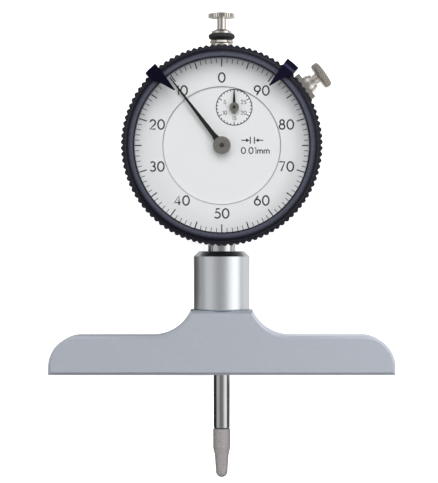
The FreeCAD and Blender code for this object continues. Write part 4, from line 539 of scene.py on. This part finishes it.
def radial(turn, inner, outer):
    """Short line from an inner to an outer radius."""
    return [at_turn(turn, inner), at_turn(turn, outer)]


# Widths of the printed lines
FINE_LINE = 0.2 * MM
LONG_LINE = 0.34 * MM
NUMERAL_LINE = 0.44 * MM
SMALL_LINE = 0.26 * MM
SMALL_NUMERAL_LINE = 0.21 * MM
UNIT_LINE = 0.32 * MM
ARROWHEAD_WIDTH = 0.9 * MM

DIVISIONS = 100
TICK_OUTER = 25.75 * MM
TICK_INNER = {1: 24 * MM, 5: 23.3 * MM, 10: 22.9 * MM}
NUMERAL_RADIUS = 19.75 * MM
NUMERAL_HEIGHT = 2.68 * MM
fine_ticks = []
long_ticks = []
for division in range(DIVISIONS):
    kind = 10 if division % 10 == 0 else 5 if division % 5 == 0 else 1
    tick = radial(division * 360 / DIVISIONS, TICK_INNER[kind], TICK_OUTER)
    (fine_ticks if kind == 1 else long_ticks).append(tick)
ink("scale_fine_ticks", fine_ticks, FINE_LINE, DIAL_CENTRE, RING_LEVEL, INK_DARK, "bezel_body")
ink("scale_long_ticks", long_ticks, LONG_LINE, DIAL_CENTRE, RING_LEVEL, INK_DARK, "bezel_body")
numerals = []
for number in range(0, DIVISIONS, 10):
    x, y = at_turn(number * 360 / DIVISIONS, NUMERAL_RADIUS)
    numerals += words(str(number), x, y, NUMERAL_HEIGHT)
ink("scale_numerals", numerals, NUMERAL_LINE, DIAL_CENTRE, RING_LEVEL, INK_DARK, "bezel_body")

SMALL_RADIUS = 5.2 * MM
SMALL_DIVISIONS = 30
SMALL_TICKS = {1: 0.5 * MM, 5: 1.05 * MM}
SMALL_NUMERAL_RADIUS = 3.15 * MM
SMALL_NUMERAL_HEIGHT = 1.05 * MM
small_lines = [arc(0, 0, SMALL_RADIUS, SMALL_RADIUS, 0, 360, 72)]
for division in range(SMALL_DIVISIONS):
    length = SMALL_TICKS[5 if division % 5 == 0 else 1]
    small_lines.append(radial(division * 360 / SMALL_DIVISIONS, SMALL_RADIUS - length, SMALL_RADIUS))
ink("counter_scale", small_lines, SMALL_LINE, SMALL_CENTRE, INNER_LEVEL, INK_DARK, "frame")
small_numerals = []
for number in range(5, SMALL_DIVISIONS, 5):
    x, y = at_turn(number * 360 / SMALL_DIVISIONS, SMALL_NUMERAL_RADIUS)
    small_numerals += words(str(number), x, y, SMALL_NUMERAL_HEIGHT)
ink("counter_numerals", small_numerals, SMALL_NUMERAL_LINE, SMALL_CENTRE, INNER_LEVEL, INK_GREY, "frame")

# The unit mark: two short bars with an arrow against each, and the length of one division below them
UNIT_X = 8.9 * MM
UNIT_Y = 1.55 * MM
UNIT_BAR_GAP = 0.6 * MM
UNIT_BAR_HALF = 1.0 * MM
ARROW_START = 0.3 * MM
ARROW_LENGTH = 2.6 * MM
ARROWHEAD_START = 0.75 * MM
ARROWHEAD_END = 1.25 * MM
UNIT_TEXT_X = 9.75 * MM
UNIT_TEXT_Y = -1.45 * MM
UNIT_TEXT_HEIGHT = 1.75 * MM
unit_lines = []
unit_heads = []
for side in (-1, 1):
    bar = UNIT_X + side * UNIT_BAR_GAP
    unit_lines.append([(bar, UNIT_Y - UNIT_BAR_HALF), (bar, UNIT_Y + UNIT_BAR_HALF)])
    unit_lines.append([(bar + side * ARROW_START, UNIT_Y), (bar + side * ARROW_LENGTH, UNIT_Y)])
    unit_heads.append([(bar + side * ARROWHEAD_START, UNIT_Y), (bar + side * ARROWHEAD_END, UNIT_Y)])
unit_lines += words("0.01mm", UNIT_TEXT_X, UNIT_TEXT_Y, UNIT_TEXT_HEIGHT)
ink("unit_mark", unit_lines, UNIT_LINE, DIAL_CENTRE, INNER_LEVEL, INK_DARK, "frame")
ink("unit_arrowheads", unit_heads, ARROWHEAD_WIDTH, DIAL_CENTRE, INNER_LEVEL, INK_DARK, "frame")


# Studio: floor, world, cards that only reflections see, and lamps


def seen_by_sight(tree):
    """1 for camera, glossy and transmission rays, which see the white background."""
    path = tree.nodes.new("ShaderNodeLightPath")
    both = maths(tree, "MAXIMUM", path.outputs["Is Camera Ray"], path.outputs["Is Glossy Ray"])
    return maths(tree, "MAXIMUM", both, path.outputs["Is Transmission Ray"])


def square(half, level):
    """Corners of a level square round the origin."""
    return [(x * half, y * half, level) for x, y in ((-1, -1), (1, -1), (1, 1), (-1, 1))]


def grid(name, points, faces, material):
    """Surface that belongs to the studio."""
    mesh = bpy.data.meshes.new(name)
    mesh.from_pydata(points, [], faces)
    mesh.materials.append(material)
    thing = bpy.data.objects.new(name, mesh)
    bpy.context.scene.collection.objects.link(thing)
    return thing


FLOOR_HALF = 3.0
FLOOR_GLOW = 0.75
floor_material = new_material("floor_white", (0.8, 0.8, 0.8), 0.9)
floor_tree = floor_material.node_tree
floor_shader = floor_tree.nodes["Principled BSDF"]
floor_shader.inputs["Emission Color"].default_value = (1, 1, 1, 1)
glow = maths(floor_tree, "MULTIPLY", seen_by_sight(floor_tree), FLOOR_GLOW)
floor_tree.links.new(glow, floor_shader.inputs["Emission Strength"])
grid("floor", square(FLOOR_HALF, FLOOR_LEVEL), [(0, 1, 2, 3)], floor_material)

WORLD_LIGHT = 0.5
world = bpy.data.worlds.new("studio")
world.use_nodes = True
bpy.context.scene.world = world
world_tree = world.node_tree
background = world_tree.nodes["Background"]
background.inputs["Color"].default_value = (1, 1, 1, 1)
strength = world_tree.nodes.new("ShaderNodeMapRange")
strength.inputs["To Min"].default_value = WORLD_LIGHT
strength.inputs["To Max"].default_value = 1.0
world_tree.links.new(seen_by_sight(world_tree), strength.inputs["Value"])
world_tree.links.new(strength.outputs["Result"], background.inputs["Strength"])


def reflected_only(name, points, faces):
    """Card that only reflections see; returns its node tree and the input of its brightness."""
    material = new_material(f"{name}_paint", (0, 0, 0), 1.0, sockets=[("Specular IOR Level", 0)])
    shader = material.node_tree.nodes["Principled BSDF"]
    shader.inputs["Emission Color"].default_value = (1, 1, 1, 1)
    thing = grid(name, points, faces, material)
    thing.visible_camera = False
    thing.visible_diffuse = False
    thing.visible_transmission = False
    thing.visible_shadow = False
    thing.visible_volume_scatter = False
    return material.node_tree, shader.inputs["Emission Strength"]


def brightness(tree, source, low, high, stops):
    """Brightness that follows a coordinate between two values; the stops are places from 0 to 1."""
    return stepped(tree, source, low, high, [(place, (level,) * 3) for place, level in stops])


def own_axes(tree):
    """The surface's own coordinates, by the names X, Y and Z."""
    place = tree.nodes.new("ShaderNodeTexCoord")
    axes = tree.nodes.new("ShaderNodeSeparateXYZ")
    tree.links.new(place.outputs["Object"], axes.inputs["Vector"])
    return axes.outputs


# Dome round the part: darker overhead and at the horizon, bright between, brighter on the right and dimmer
# beyond the measuring face
DOME_RADIUS = 1.5
DOME_SIDES = 48
DOME_ROWS = 16
dome_points = [(0, 0, DOME_RADIUS)]
for row in range(1, DOME_ROWS + 1):
    slope = math.pi / 2 * row / DOME_ROWS
    for side in range(DOME_SIDES):
        turn = 2 * math.pi * side / DOME_SIDES
        dome_points.append(
            (
                DOME_RADIUS * math.sin(slope) * math.cos(turn),
                DOME_RADIUS * math.sin(slope) * math.sin(turn),
                DOME_RADIUS * math.cos(slope),
            )
        )
dome_faces = [(0, 1 + side, 1 + (side + 1) % DOME_SIDES) for side in range(DOME_SIDES)]
for row in range(DOME_ROWS - 1):
    for side in range(DOME_SIDES):
        first = 1 + row * DOME_SIDES
        after = (side + 1) % DOME_SIDES
        dome_faces.append(
            (first + side, first + DOME_SIDES + side, first + DOME_SIDES + after, first + after)
        )
dome_tree, dome_glow = reflected_only("dome", dome_points, dome_faces)
axes = own_axes(dome_tree)
BY_HEIGHT = [(0, 0.08), (0.13, 0.1), (0.24, 1.3), (0.62, 1.3), (0.8, 1.0), (0.9, 0.6), (0.96, 0.42), (1, 0.42)]
BY_SIDE = [(0, 0.65), (0.5, 0.95), (0.62, 1.15), (0.75, 1.5), (1, 1.5)]
BY_END = [(0, 0.65), (0.35, 0.8), (0.5, 1.0), (1, 1.0)]
overhead = brightness(dome_tree, axes["Z"], 0, DOME_RADIUS, BY_HEIGHT)
sideways = brightness(dome_tree, axes["X"], -DOME_RADIUS, DOME_RADIUS, BY_SIDE)
endways = brightness(dome_tree, axes["Y"], -DOME_RADIUS, DOME_RADIUS, BY_END)
glow = maths(dome_tree, "MULTIPLY", maths(dome_tree, "MULTIPLY", overhead, sideways), endways)
dome_tree.links.new(glow, dome_glow)

# What reflections see of the floor: dark to the left of the collar and spindle and light to their right, but
# light on both sides of the base and the dial, and dim beyond the measuring face
MAT_HALF = 1.4
MAT_RISE = 0.05 * MM
MAT_REACH = 0.12
mat_tree, mat_glow = reflected_only("mat", square(MAT_HALF, FLOOR_LEVEL + MAT_RISE), [(0, 1, 2, 3)])
axes = own_axes(mat_tree)
BY_PLACE = [(0, 0.8), (0.15, 0.5), (0.3, 0.2), (0.4, 0.08), (0.47, 0.08), (0.52, 0.7), (0.6, 1.0), (1, 1.0)]
BY_LENGTH = [(0, 0.22), (0.48, 0.22), (0.51, 1.0), (1, 1.0)]
BESIDE_BASE = [
    (0, 0),
    (0.5, 0),
    (0.515, 1),
    (0.56, 1),
    (0.575, 0),
    (0.65, 0),
    (0.68, 1),
    (0.86, 1),
    (0.88, 0.4),
    (1, 0.4),
]
across = brightness(mat_tree, axes["X"], -MAT_REACH, MAT_REACH, BY_PLACE)
shoulder = brightness(mat_tree, axes["Y"], -MAT_REACH, MAT_REACH, BESIDE_BASE)
along = brightness(mat_tree, axes["Y"], -MAT_REACH, MAT_REACH, BY_LENGTH)
glow = maths(mat_tree, "MULTIPLY", maths(mat_tree, "MAXIMUM", across, shoulder), along)
mat_tree.links.new(glow, mat_glow)

LAMP_TARGET = Vector((0, 0.04, 0))
LAMP_DISTANCE = 1.2
LAMP_WIDTH = 0.9


def lamp(name, azimuth, elevation, length, power):
    """Soft lamp that points at the middle of the gauge; azimuth is in degrees from +X."""
    data = bpy.data.lights.new(name, "AREA")
    data.shape = "RECTANGLE"
    data.size = LAMP_WIDTH
    data.size_y = length
    data.energy = power
    thing = bpy.data.objects.new(name, data)
    bpy.context.scene.collection.objects.link(thing)
    a, e = math.radians(azimuth), math.radians(elevation)
    away = Vector((math.cos(a) * math.cos(e), math.sin(a) * math.cos(e), math.sin(e)))
    thing.location = LAMP_TARGET + away * LAMP_DISTANCE
    thing.rotation_euler = (-away).to_track_quat("-Z", "Y").to_euler()
    thing.visible_glossy = False


lamp("key_lamp", azimuth=90, elevation=58, length=0.9, power=9.6)
lamp("right_lamp", azimuth=0, elevation=50, length=0.22, power=2.6)
lamp("left_lamp", azimuth=180, elevation=35, length=0.22, power=1.2)

# Camera
camera_data = bpy.data.cameras.new("camera")
camera_data.lens = CAMERA_LENS
camera_data.sensor_width = SENSOR_LONG_SIDE
camera = bpy.data.objects.new("camera", camera_data)
camera.location = CAMERA_PLACE
bpy.context.scene.collection.objects.link(camera)
bpy.context.scene.camera = camera
bpy.context.scene.view_settings.view_transform = "Standard"
